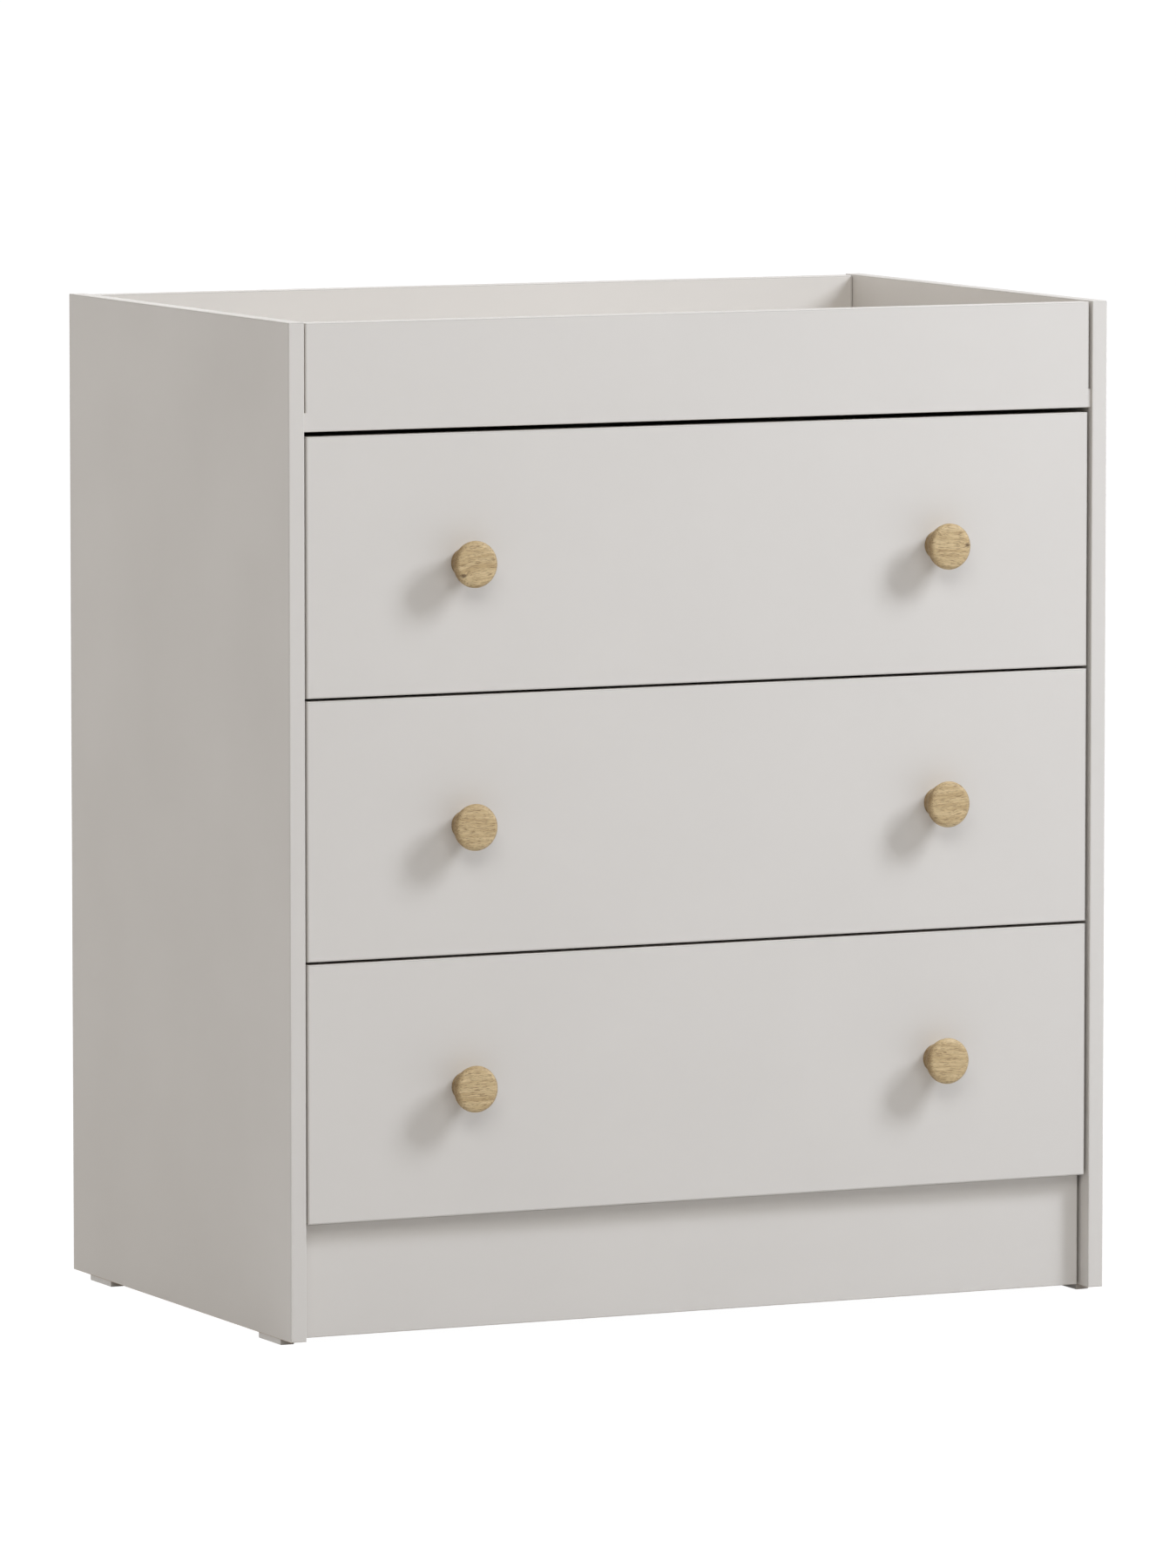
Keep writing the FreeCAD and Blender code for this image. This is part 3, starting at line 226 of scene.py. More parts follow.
def hardboard_finish(name, axis, painted_from, painted_to, paint):
    """Hardboard whose paint lies between two places on an axis. The bare side has
    matted fibres and the press wire's mesh: two crossed sets of waves, multiplied, whose hollows are
    darkened as painted shade."""
    finish, tree, output = new_finish(name)
    place = add(tree, "TexCoord").outputs["Object"]
    split = add(tree, "SeparateXYZ", None, Vector=place)
    painted = calculate(tree, "MULTIPLY",
                        calculate(tree, "GREATER_THAN", split.outputs[axis], painted_from),
                        calculate(tree, "LESS_THAN", split.outputs[axis], painted_to))
    fibres = noise(tree, stretched(tree, place, (1, 1, 0.35)), 900, 4, 0.7)
    patches = noise(tree, place, 26, 4)
    waves = []
    for direction in ("X", "Z" if axis == "Y" else "Y"):
        angle = calculate(tree, "MULTIPLY", split.outputs[direction], WAVES_TO_THE_MM * TURN_OF_A_WAVE)
        waves.append(calculate(tree, "SINE", angle))
    mesh = calculate(tree, "MULTIPLY", *waves)
    brightness = calculate(tree, "ADD", noise_spread(tree, fibres, 0.62, 1.25),
                           noise_spread(tree, patches, -0.04, 0.04))
    brown = add(tree, "HueSaturation", None, Color=HARDBOARD_BROWN, Value=brightness).outputs["Color"]
    # Painted shade: the bare brown is darkened in the hollows of the mesh, where the waves are lowest
    brown = blend_colours(tree, spread(tree, mesh, -1, 1, 0.22, 0), brown, MESH_HOLLOW_SHADE)
    colour = blend_colours(tree, painted, brown, paint)
    pressed = calculate(tree, "ADD", fibres, calculate(tree, "MULTIPLY", mesh, 0.6))
    bare = calculate(tree, "SUBTRACT", 1.0, calculate(tree, "MULTIPLY", painted, 0.93))
    height = calculate(tree, "MULTIPLY", pressed, bare)
    coat(tree, output, colour, height, 0.7, HARDBOARD_RELIEF,
         Roughness=spread(tree, painted, 0, 1, 0.82, 0.5), Specular_IOR_Level=0.35)
    return finish


low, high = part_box("back_panel")
dress("back_panel", hardboard_finish("back_panel_hardboard", "Y", low.y - 1, low.y + PAINT_DEPTH,
                                     FOIL_COLOUR))


# ---- Glides and corner blocks ----
# Flat plastic glides with two pegs, pushed into the lower edges of the side panels, and
# the plastic blocks in the corners that hold the plinth and the rear rail.
GLIDE_COLOUR = (0.71, 0.68, 0.64, 1)
BLOCK_COLOUR = (0.70, 0.69, 0.66, 1)
MOULD_RELIEF = 0.0001


def smooth_finish(name, colour, roughness, relief):
    """Moulded plastic or baked paint: one colour with a faint cloud and a fine grain."""
    finish, tree, output = new_finish(name)
    place = add(tree, "TexCoord").outputs["Object"]
    tone = blend_colours(tree, noise(tree, place, 120, 2), shade(colour, 0.9), colour)
    coat(tree, output, tone, noise(tree, place, 2600, 2), 0.4, relief, Roughness=roughness,
         Specular_IOR_Level=0.45)
    return finish


glide_plastic = smooth_finish("glide_plastic", GLIDE_COLOUR, 0.5, MOULD_RELIEF)
for end in ("front", "rear"):
    for hand in ("left", "right"):
        dress(f"glide_{end}_{hand}", glide_plastic)
dress("corner_blocks", smooth_finish("block_plastic", BLOCK_COLOUR, 0.45, MOULD_RELIEF))


# ---- Cabinet screws and cam fittings ----
# Zinc-plated wood screws with rolled threads and a cross recess, each where the frame has
# its plain one. The die-cast cams and their bolts keep the frame's shape.
ZINC_DULL = (0.58, 0.58, 0.57, 1)
ZINC_BRIGHT = (0.72, 0.72, 0.70, 1)
ZINC_RELIEF = 0.0002
# Painted shade: the near-black of the recess in each cam's cross
CROSS_RECESS_SHADE = (0.09, 0.09, 0.085, 1)
CAM_RADIUS = 0.0075
CAM_ARM = 0.0009
CAM_REACH = 0.0044
BOARD_CAM_X = 0.395
BOARD_CAM_SPACING = 0.41
THREAD_PITCH = 0.0016
THREAD_DEPTH = 0.00042
SHANKS = (
    # head radius that it stays under, shank radius
    (0.0036, 0.00175),
    (0.0042, 0.002),
    (1, 0.0025),
)
SUNK_HEAD = 0.0042
ROUND_HEAD_RISE = 0.6
ROUND_HEAD = ((1, 1), (0.97, 0.62), (0.86, 0.3), (0.68, 0.07))
CROSS_ARM = 0.13
CROSS_REACH = 0.5
CROSS_MIDDLE = 1.45
CROSS_DEPTH = 0.65
ARM_COLUMNS = (0, 1, 7)  # of the 8 in each quarter of a turn
WIDEST_FLANK = math.radians(38)
WALL_SLOPE = math.radians(3)
SHARP_FROM = math.radians(35)


def zinc_finish(name, cams=None):
    """Bright zinc with faint clouds. Cams are (axis, middle, half spacing) twice over: the
    cross of each is where one distance is under the arm and the other under the reach, painted
    near-black as the shade in its recess and pressed in by the bump."""
    finish, tree, output = new_finish(name)
    place = add(tree, "TexCoord").outputs["Object"]
    clouds = noise(tree, place, 700, 3)
    tone = blend_colours(tree, clouds, ZINC_DULL, ZINC_BRIGHT)
    height = calculate(tree, "MULTIPLY", noise(tree, place, 4000, 2), 0.2)
    if cams:
        split = add(tree, "SeparateXYZ", None, Vector=place)
        away = []
        for axis, middle, half_spacing in cams:
            side = away_from(tree, split.outputs[axis], middle)
            away.append(away_from(tree, side, half_spacing))
        narrow = calculate(tree, "LESS_THAN", calculate(tree, "MINIMUM", *away), CAM_ARM)
        near = calculate(tree, "LESS_THAN", calculate(tree, "MAXIMUM", *away), CAM_REACH)
        cross = calculate(tree, "MULTIPLY", narrow, near)
        # The cross is painted near-black as the shade of a recess that the cam's flat face lacks; the
        # bump presses it in
        tone = blend_colours(tree, cross, tone, CROSS_RECESS_SHADE)
        height = calculate(tree, "SUBTRACT", height, cross)
    coat(tree, output, tone, height, 0.4, ZINC_RELIEF, Metallic=1.0,
         Roughness=noise_spread(tree, clouds, 0.30, 0.42))
    return finish


def loose_shapes(node):
    """The points of each separate shape in a carried-over solid. Points joined by an edge
    or lying at the same place belong together."""
    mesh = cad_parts[node].data
    points = np.empty(3 * len(mesh.vertices))
    mesh.vertices.foreach_get("co", points)
    points = points.reshape(-1, 3)
    edges = np.empty(2 * len(mesh.edges), dtype=np.int32)
    mesh.edges.foreach_get("vertices", edges)
    same = np.unique(points.round(6), axis=0, return_inverse=True)[1].ravel()
    first, second = same[edges].reshape(-1, 2).T
    group = np.arange(same.max() + 1)
    settled = False
    while not settled:
        lowest = group.copy()
        np.minimum.at(lowest, first, group[second])
        np.minimum.at(lowest, second, group[first])
        lowest = lowest[lowest]
        settled = np.array_equal(lowest, group)
        group = lowest
    return [points[group[same] == label] for label in np.unique(group)]


def carried_round(radius, along, angles, foot, heading):
    """Points and faces of rows carried round a line that leaves a foot along a heading. A
    row at radius 0 closes on one point, and rows with no such end close on themselves."""
    turn = np.array(Vector((0, 0, 1)).rotation_difference(Vector(heading)).to_matrix())
    points = np.stack([radius * np.cos(angles), radius * np.sin(angles), along], axis=-1) @ turn.T
    points = points + np.array(foot)
    index = np.arange(radius.size).reshape(radius.shape)
    for row in (0, -1):
        if not radius[row].any():
            index[row] = index[row, 0]
    if radius[0].any():
        index = np.vstack([index, index[:1]])
    after = np.roll(index, -1, axis=1)
    faces = np.stack([index[:-1], after[:-1], after[1:], index[1:]], axis=-1).reshape(-1, 4)
    kept, places = np.unique(faces, return_inverse=True)
    faces = [list(dict.fromkeys(face)) for face in places.reshape(-1, 4).tolist()]
    return points.reshape(-1, 3)[kept], faces


def even_columns(profile, columns):
    """Radius, way along and angle of a profile's points, at even steps round its axis."""
    angles = np.tile(np.arange(columns) * 2 * math.pi / columns, (len(profile), 1))
    radius, along = (column[:, None] + 0 * angles for column in np.array(profile).T)
    return radius, along, angles


def plain_screw(cloud):
    """How a plain screw of the frame lies: the middle of its head's face, the way it faces,
    its length and the radius of its head. The head is at the wider end."""
    low, high = cloud.min(axis=0), cloud.max(axis=0)
    size = high - low
    axis = int(np.argmax(np.abs(size - np.median(size))))
    others = [a for a in range(3) if a != axis]
    middle = (low + high) / 2
    widths = []
    for end in (low, high):
        at_end = cloud[np.abs(cloud[:, axis] - end[axis]) < 1e-6]
        widths.append(np.abs((at_end - middle)[:, others]).max())
    heading = np.zeros(3)
    heading[axis] = 1 if widths[1] > widths[0] else -1
    return middle + heading * size[axis] / 2, heading, size[axis], size[others].max() / 2


def screw(cloud):
    """One screw with the place, size and heading of a plain one. Its columns follow the
    flanks of the cross: their angle is the arcsine of the arm over the radius. The thread
    is a ridge that winds: a triangle wave of the way along in pitches plus the turn."""
    foot, heading, length, head = plain_screw(cloud)
    shank = next(radius for limit, radius in SHANKS if head < limit)
    sunk = head > SUNK_HEAD
    rise = head - shank if sunk else ROUND_HEAD_RISE * head
    rim = [(head, 0)] if sunk else [(out * head, -down * rise) for out, down in ROUND_HEAD]
    arm = CROSS_ARM * head
    reach = CROSS_REACH * head
    middle = CROSS_MIDDLE * arm
    steps = np.arange(-length + 2 * shank, -rise, THREAD_PITCH / 4)
    face = [(out, 0) for out in (1.04 * reach, reach, 0.6 * reach, middle, 0)]
    profile = np.array([(0, -length)] + [(shank, step) for step in steps] + [(shank, -rise)]
                       + rim + face)
    row = np.arange(len(profile))[:, None]
    quarter_turn = math.pi / 2
    flank = np.arcsin(np.minimum(arm / np.maximum(profile[:, 0], arm), math.sin(WIDEST_FLANK)))
    wall = flank + WALL_SLOPE
    half_way = (wall + quarter_turn / 2) / 2
    quarter = np.stack([0 * flank, flank, wall, half_way, 0 * flank + quarter_turn / 2,
                        quarter_turn - half_way, quarter_turn - wall, quarter_turn - flank], axis=1)
    angles = np.hstack([quarter + k * quarter_turn for k in range(4)])
    radius, along = (column[:, None] + 0 * angles for column in profile.T)
    in_arm = np.isin(np.arange(angles.shape[1]) % quarter.shape[1], ARM_COLUMNS) | (radius <= middle)
    recessed = in_arm & (radius <= reach) & (row > len(steps) + 1)
    threaded = (row <= len(steps)) & (radius > 0)
    wound = along / THREAD_PITCH + heading.sum() * angles / (2 * math.pi)
    ridge = THREAD_DEPTH * (np.abs(wound % 1 - 0.5) * 2)
    recess = CROSS_DEPTH * rise * (1 - 0.35 * radius / reach)
    return carried_round(radius - threaded * ridge, along - recessed * recess, angles, foot, heading)


def hardware(name, shapes, finish, body, node):
    """One piece made of separate shapes that stands for a node of the frame."""
    points, faces, used = [], [], 0
    for shape_points, shape_faces in shapes:
        points.append(shape_points)
        faces += [[used + corner for corner in face] for face in shape_faces]
        used += len(shape_points)
    mesh = bpy.data.meshes.new(name)
    mesh.from_pydata(np.vstack(points), [], faces)
    mesh.materials.append(finish)
    mesh.shade_smooth()
    mesh.set_sharp_from_angle(angle=SHARP_FROM)
    piece = bpy.data.objects.new(name, mesh)
    bpy.context.scene.collection.objects.link(piece)
    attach(piece, body)
    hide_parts(node)


zinc = zinc_finish("zinc")
screws = [screw(cloud) for cloud in loose_shapes("carcass_screws")]
hardware("cabinet_wood_screws", screws, zinc, "carcass", "carcass_screws")
low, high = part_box("carcass_joint_fittings")
half_spacing = BOARD_CAM_SPACING / 2
cams = (("X", 0, BOARD_CAM_X), ("Y", low.y + CAM_RADIUS + half_spacing, half_spacing))
dress("carcass_joint_fittings", zinc_finish("board_cam_zinc", cams))


# ---- Drawer boxes ----
# Each drawer has a banded front on cam bolts, two 12 mm sides, a back screwed between
# them and a hardboard bottom in grooves.
DRAWER_COLOUR = (0.68, 0.664, 0.636, 1)
LINEN_RELIEF = 0.0001


def drawer_board_finish(name, cuts):
    """Pale linen-grained foil over 12 mm board, with bare chips where it was cut."""
    finish, tree, output = new_finish(name)
    place = add(tree, "TexCoord").outputs["Object"]
    clouds = noise(tree, place, 16, 3)
    linen = noise(tree, stretched(tree, place, (1, 0.12, 1)), 1500, 2)
    tone = blend_colours(tree, clouds, DRAWER_COLOUR, shade(DRAWER_COLOUR, 0.95))
    tone = bare_chips(tree, place, tone, cuts)
    coat(tree, output, tone, linen, 0.3, LINEN_RELIEF, Roughness=noise_spread(tree, linen, 0.46, 0.56),
         Specular_IOR_Level=0.4)
    return finish


for name in ("lower", "middle", "upper"):
    low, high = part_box(f"{name}_drawer_front")
    bands = [("X", low.x + BAND_THICKNESS), ("X", high.x - BAND_THICKNESS),
             ("Z", low.z + BAND_THICKNESS), ("Z", high.z - BAND_THICKNESS)]
    dress(f"{name}_drawer_front", foil_finish(f"{name}_drawer_front_foil", bands))
    low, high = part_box(f"{name}_drawer_bottom")
    painted_board = hardboard_finish(f"{name}_bottom_hardboard", "Z", high.z - PAINT_DEPTH,
                                     high.z + 1, DRAWER_COLOUR)
    dress(f"{name}_drawer_bottom", painted_board)
    low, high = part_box(f"{name}_drawer_back")
    cuts = [("Z", low.z + CUT_SKIN, "LESS_THAN")]
    dress(f"{name}_drawer_back", drawer_board_finish(f"{name}_back_board", cuts))
    for hand in ("left", "right"):
        low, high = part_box(f"{name}_drawer_side_{hand}")
        cuts = [("Z", low.z + CUT_SKIN, "LESS_THAN"), ("Y", high.y - CUT_SKIN, "GREATER_THAN")]
        dress(f"{name}_drawer_side_{hand}", drawer_board_finish(f"{name}_{hand}_side_board", cuts))
    screws = [screw(cloud) for cloud in loose_shapes(f"{name}_drawer_screws")]
    hardware(f"{name}_wood_screws", screws, zinc, f"{name}_drawer", f"{name}_drawer_screws")
    low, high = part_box(f"{name}_drawer_cam_fittings")
    cams = (("Y", high.y - CAM_RADIUS, 0),
            ("Z", (low.z + high.z) / 2, (high.z - low.z) / 2 - CAM_RADIUS))
    dress(f"{name}_drawer_cam_fittings", zinc_finish(f"{name}_cam_zinc", cams))


# ---- Roller runners ----
# A channel of bent steel with a roller at its front is screwed to each side panel, and a
# hooked rail with a roller at its rear carries the drawer. Folds and stops are distances
# in from the side panel and heights over the channel's level.
STEEL_COLOUR = (0.78, 0.775, 0.75, 1)
STEEL_RELIEF = 0.00006
NYLON_COLOUR = (0.74, 0.73, 0.70, 1)
NYLON_RELIEF = 0.00005
INNER_WIDTH = 0.838
STEEL = 0.0012
FOLD_RADIUS = 0.001
FOLD_POINTS = 6
CHANNEL_LEVEL = 0.0058
CABINET_FOLDS = ((0.0105, -0.0052), (0.0006, -0.0052), (0.0006, 0.0193), (0.0105, 0.0193))
DRAWER_FOLDS = ((0.0225, -0.0006), (0.0119, -0.0006), (0.0119, 0.0166), (0.0025, 0.0166))
RAIL_WEB = 0.0113
STOP_PLACES = (0.08453, 0.44227)
STOP_SIDES = (0.0065, 0.0105)
STOP_HEIGHTS = (-0.0047, -0.0006)
AXLE = 0.0025
AXLE_HEAD = 0.004
AXLE_INSET = 0.014
AXLE_HEIGHT = 0.0057
RIVET_COLUMNS = 28
RIVET_PROFILE = ((0, -0.0005), (AXLE, -0.0005), (AXLE, 0.0059), (AXLE_HEAD, 0.0059),
                 (AXLE_HEAD, 0.0063), (0.8 * AXLE_HEAD, 0.0067), (0.4 * AXLE_HEAD, 0.00688),
                 (0, 0.0069))
ROLLER_COLUMNS = 64
ROLLER_PROFILE = ((0.00258, -0.0025), (0.0046, -0.0025), (0.005, -0.0016), (0.0078, -0.0016),
                  (0.0082, -0.0025), (0.0095, -0.0025), (0.01, -0.002))


def roller(centre):
    """A moulded roller: a rim and a hub joined by a thinner web, turned about its bore."""
    rows = np.vstack([ROLLER_PROFILE, np.array(ROLLER_PROFILE)[::-1] * (1, -1)])
    return carried_round(*even_columns(rows, ROLLER_COLUMNS), centre, (1, 0, 0))


def rivet(place, way):
    """A roller's axle with its domed head, from the middle of a web."""
    return carried_round(*even_columns(RIVET_PROFILE, RIVET_COLUMNS), place, (way, 0, 0))


def bent_strip(line, side, near, far):
    """A folded steel strip between two places on Y. The line is its middle, as distances
    in from the side panel and heights; each corner is an arc, and the steel lies half its
    thickness to either side."""
    path = [np.array(line[0])]
    for before, corner, after in zip(line, line[1:], line[2:]):
        corner = np.array(corner)
        back = (before - corner) / np.hypot(*(before - corner))
        ahead = (after - corner) / np.hypot(*(after - corner))
        for turn in np.linspace(0, math.pi / 2, FOLD_POINTS):
            bend = (1 - math.sin(turn)) * back + (1 - math.cos(turn)) * ahead
            path.append(corner + FOLD_RADIUS * bend)
    path = np.array(path + [np.array(line[-1])])
    lean = np.gradient(path, axis=0)
    across = np.column_stack([-lean[:, 1], lean[:, 0]]) / np.hypot(*lean.T)[:, None] * STEEL / 2
    outline = np.vstack([path + across, (path - across)[::-1]])
    count = len(outline)
    x = side * (INNER_WIDTH / 2 - outline[:, 0])
    points = np.vstack([np.column_stack([x, np.full(count, y), outline[:, 1]]) for y in (near, far)])
    k = np.arange(count)
    after = (k + 1) % count
    i = np.arange(count // 2 - 1)
    faces = np.vstack([np.column_stack([k, after, after + count, k + count]),
                       np.column_stack([i + 1, i, count - 1 - i, count - 2 - i]),
                       np.column_stack([i, i + 1, count - 2 - i, count - 1 - i]) + count])
    return points, faces.tolist() if side < 0 else faces[:, ::-1].tolist()


def plate(low, high):
    """A small box between two corners."""
    points = np.array([(x, y, z) for x in (low[0], high[0]) for y in (low[1], high[1])
                       for z in (low[2], high[2])])
    return points, [[0, 1, 3, 2], [4, 6, 7, 5], [0, 4, 5, 1], [2, 3, 7, 6], [0, 2, 6, 4], [1, 5, 7, 3]]


runner_steel = smooth_finish("runner_steel", STEEL_COLOUR, 0.32, STEEL_RELIEF)
nylon = smooth_finish("nylon", NYLON_COLOUR, 0.42, NYLON_RELIEF)
for name in ("lower", "middle", "upper"):
    for hand, side in (("left", -1), ("right", 1)):
        low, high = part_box(f"{name}_cabinet_runner_{hand}")
        level = low.z + CHANNEL_LEVEL
        line = [(inward, level + height) for inward, height in CABINET_FOLDS]
        axle = (side * (INNER_WIDTH / 2 - STEEL), low.y + AXLE_INSET, level + AXLE_HEIGHT)
        shapes = [bent_strip(line, side, low.y, high.y), rivet(axle, -side)]
        edges = sorted(side * (INNER_WIDTH / 2 - inward) for inward in STOP_SIDES)
        for stop in STOP_PLACES:
            shapes.append(plate((edges[0], low.y + stop, level + STOP_HEIGHTS[0]),
                                (edges[1], low.y + stop + STEEL, level + STOP_HEIGHTS[1])))
        hardware(f"{name}_channel_{hand}", shapes, runner_steel, "carcass",
                 f"{name}_cabinet_runner_{hand}")
        low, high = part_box(f"{name}_drawer_runner_{hand}")
        line = [(inward, level + height) for inward, height in DRAWER_FOLDS]
        axle = (side * (INNER_WIDTH / 2 - RAIL_WEB), high.y - AXLE_INSET, level + AXLE_HEIGHT)
        shapes = [bent_strip(line, side, low.y, high.y), rivet(axle, side)]
        hardware(f"{name}_drawer_rail_{hand}", shapes, runner_steel, f"{name}_drawer",
                 f"{name}_drawer_runner_{hand}")
    for end in ("front", "rear"):
        centres = [(shape.min(axis=0) + shape.max(axis=0)) / 2
                   for shape in loose_shapes(f"{name}_{end}_rollers")]
        hardware(f"{name}_{end}_nylon_rollers", [roller(centre) for centre in centres], nylon,
                 f"{name}_{end}_rollers", f"{name}_{end}_rollers")


# ---- Knobs ----
# Six knobs turned from oak with the grain level, brushed so that the soft grain lies a
# little deeper, and finished in clear matt lacquer. Each is cut from another piece.
KNOB_LENGTH = 0.030
KNOB_FOOT_RADIUS = 0.014
KNOB_NECK = 0.005
KNOB_FLARE_RADIUS = 0.040
KNOB_BELLY_RADIUS = 0.0223
KNOB_BELLY = 0.0235
KNOB_RIM_RADIUS = 0.0052
KNOB_FACE_RADIUS = 0.018
KNOB_DOME = 0.0006
KNOB_COLUMNS = 360
UNDERSIDE_ROWS = 7
NECK_ROWS = 6
FLARE_ROWS = 40
RIM_ROWS = 22
FACE_ROWS = 50
GRAIN_DEPTH = 0.00014
GRAIN_WAVES = (70, 560, 560)
GRAIN_LEAN = 0.3
WIDE_BEND = 0.0024
WIDE_BEND_WAVES = (45, 70, 70)
SMALL_BEND = 0.0009
SMALL_BEND_WAVES = (130, 190, 190)
LATTICE = 32
PORE_DEPTH = 0.00018
OAK_PALE = (0.615, 0.468, 0.262, 1)
OAK_GOLDEN = (0.478, 0.343, 0.175, 1)
OAK_DARK = (0.225, 0.142, 0.062, 1)
OAK_END = (0.42, 0.34, 0.26, 1)
OAK_KNOT = (0.10, 0.055, 0.025, 1)
KNOT_SIZE = (0.0042, 0.0026)
KNOT_BEND = 0.0016
NO_KNOT = (0.1, 0.1)  # far outside the knob
KNOBS = (
    # drawer, hand, seed, slope of the grain, knot's place from the axis
    ("upper", "left", 21, 0.11, (-0.0142, -0.0102)),
    ("upper", "right", 25, -0.07, (0.0175, 0.0012)),
    ("middle", "left", 33, -0.05, NO_KNOT),
    ("middle", "right", 35, 0.06, NO_KNOT),
    ("lower", "left", 42, 0.03, NO_KNOT),
    ("lower", "right", 47, -0.09, NO_KNOT),
)


def arc(start, end, radius, steps):
    """Points on the short arc between two points of a profile. Its centre is the chord's
    middle moved square to it by the root of radius squared less half the chord squared,
    to the left for a positive radius. The last point is left out."""
    start = np.array(start)
    end = np.array(end)
    chord = end - start
    left = np.array([-chord[1], chord[0]]) / np.hypot(*chord)
    rise = math.copysign(math.sqrt(radius ** 2 - (chord @ chord) / 4), radius)
    centre = (start + end) / 2 + left * rise
    first = math.atan2(*(start - centre)[::-1])
    last = math.atan2(*(end - centre)[::-1])
    turn = (last - first + math.pi) % (2 * math.pi) - math.pi
    angles = first + turn * np.arange(steps) / steps
    return centre + abs(radius) * np.column_stack([np.cos(angles), np.sin(angles)])


def lattice_noise(points, scale, seed):
    """Smooth noise from 0 to 1: random values on a grid of unit cells, each point mixing
    the eight corners round it with weights 3t^2 - 2t^3 on each axis."""
    values = np.random.default_rng(seed).random((LATTICE,) * 3)
    cells = points * np.array(scale)
    base = np.floor(cells).astype(int)
    part = cells - base
    part = part * part * (3 - 2 * part)
    total = np.zeros(len(points))
    for corner in np.ndindex(2, 2, 2):
        weight = np.prod(np.where(corner, part, 1 - part), axis=1)
        index = tuple((base + corner).T % LATTICE)
        total += weight * values[index]
    return total


def grain_places(points, seed, slope):
    """Where each point lies in its own piece of oak: fibres along the first axis and the
    layers of growth stacked along the third, tilted, leaning back and bent by slow noise."""
    rng = np.random.default_rng(seed)
    bend = (WIDE_BEND * lattice_noise(points, WIDE_BEND_WAVES, seed)
            + SMALL_BEND * lattice_noise(points, SMALL_BEND_WAVES, seed + 2))
    lean = rng.uniform(-GRAIN_LEAN, GRAIN_LEAN)
    level = points[:, 2] - slope * points[:, 0] + lean * points[:, 1] + bend
    return np.column_stack([points[:, 0], points[:, 1], level]) + rng.uniform(0.1, 0.9, 3)


def knob_profile():
    """Half profile of a knob as radius and distance in front of the drawer front: flat
    foot, hollow flare, rounded rim and domed face."""
    foot = (KNOB_FOOT_RADIUS, KNOB_NECK)
    belly = (KNOB_BELLY_RADIUS, KNOB_BELLY)
    edge = (KNOB_FACE_RADIUS, KNOB_LENGTH)
    crown = (0, KNOB_LENGTH + KNOB_DOME)
    dome_radius = KNOB_FACE_RADIUS ** 2 / (2 * KNOB_DOME) + KNOB_DOME / 2
    underside = np.column_stack([np.linspace(0, KNOB_FOOT_RADIUS, UNDERSIDE_ROWS + 1)[:-1],
                                 np.zeros(UNDERSIDE_ROWS)])
    neck = np.column_stack([np.full(NECK_ROWS, KNOB_FOOT_RADIUS),
                            np.linspace(0, KNOB_NECK, NECK_ROWS + 1)[:-1]])
    flare = arc(foot, belly, -KNOB_FLARE_RADIUS, FLARE_ROWS)
    rim = arc(belly, edge, KNOB_RIM_RADIUS, RIM_ROWS)
    return np.vstack([underside, neck, flare, rim, arc(edge, crown, dome_radius, FACE_ROWS), [crown]])


def turned_knob(name, centre, seed, slope, knot):
    """A knob as a profile carried round its axis, each point moved inward by the depth of
    the brushed grain there. The knot's share falls off as a bell curve, and the end grain
    is the square of the part of the surface's direction that lies along the fibres."""
    profile = knob_profile()
    lean = np.gradient(profile, axis=0)
    outward = np.column_stack([lean[:, 1], -lean[:, 0]]) / np.hypot(*lean.T)[:, None]
    radius, along, angles = even_columns(profile, KNOB_COLUMNS)
    places = np.stack([radius * np.cos(angles), -along, radius * np.sin(angles)], axis=-1).reshape(-1, 3)
    relief = lattice_noise(grain_places(places, seed, slope), GRAIN_WAVES, seed + 1)
    depth = GRAIN_DEPTH * relief.reshape(radius.shape) * (along > 1e-6) * (radius > 0)
    points, faces = carried_round(radius - outward[:, :1] * depth, along - outward[:, 1:] * depth,
                                  angles, centre, (0, -1, 0))
    mesh = bpy.data.meshes.new(name)
    mesh.from_pydata(points, [], faces)
    mesh.shade_smooth()
    points = points - np.array(centre)
    grain = grain_places(points, seed, slope)
    away = np.hypot((points[:, 0] - knot[0]) / KNOT_SIZE[0], (points[:, 2] - knot[1]) / KNOT_SIZE[1])
    grain[:, 2] += KNOT_BEND * np.exp(-away ** 2 / 3) * np.sign(points[:, 2] - knot[1])
    normals = np.empty(3 * len(points), dtype=np.float32)
    mesh.vertex_normals.foreach_get("vector", normals)
    layer = mesh.attributes.new("grain", "FLOAT_VECTOR", "POINT")
    layer.data.foreach_set("vector", grain.astype(np.float32).ravel())
    for field, values in (("knot", np.exp(-away ** 2)), ("end_grain", normals[::3] ** 2)):
        layer = mesh.attributes.new(field, "FLOAT", "POINT")
        layer.data.foreach_set("value", values.astype(np.float32))
    piece = bpy.data.objects.new(name, mesh)
    bpy.context.scene.collection.objects.link(piece)
    return piece


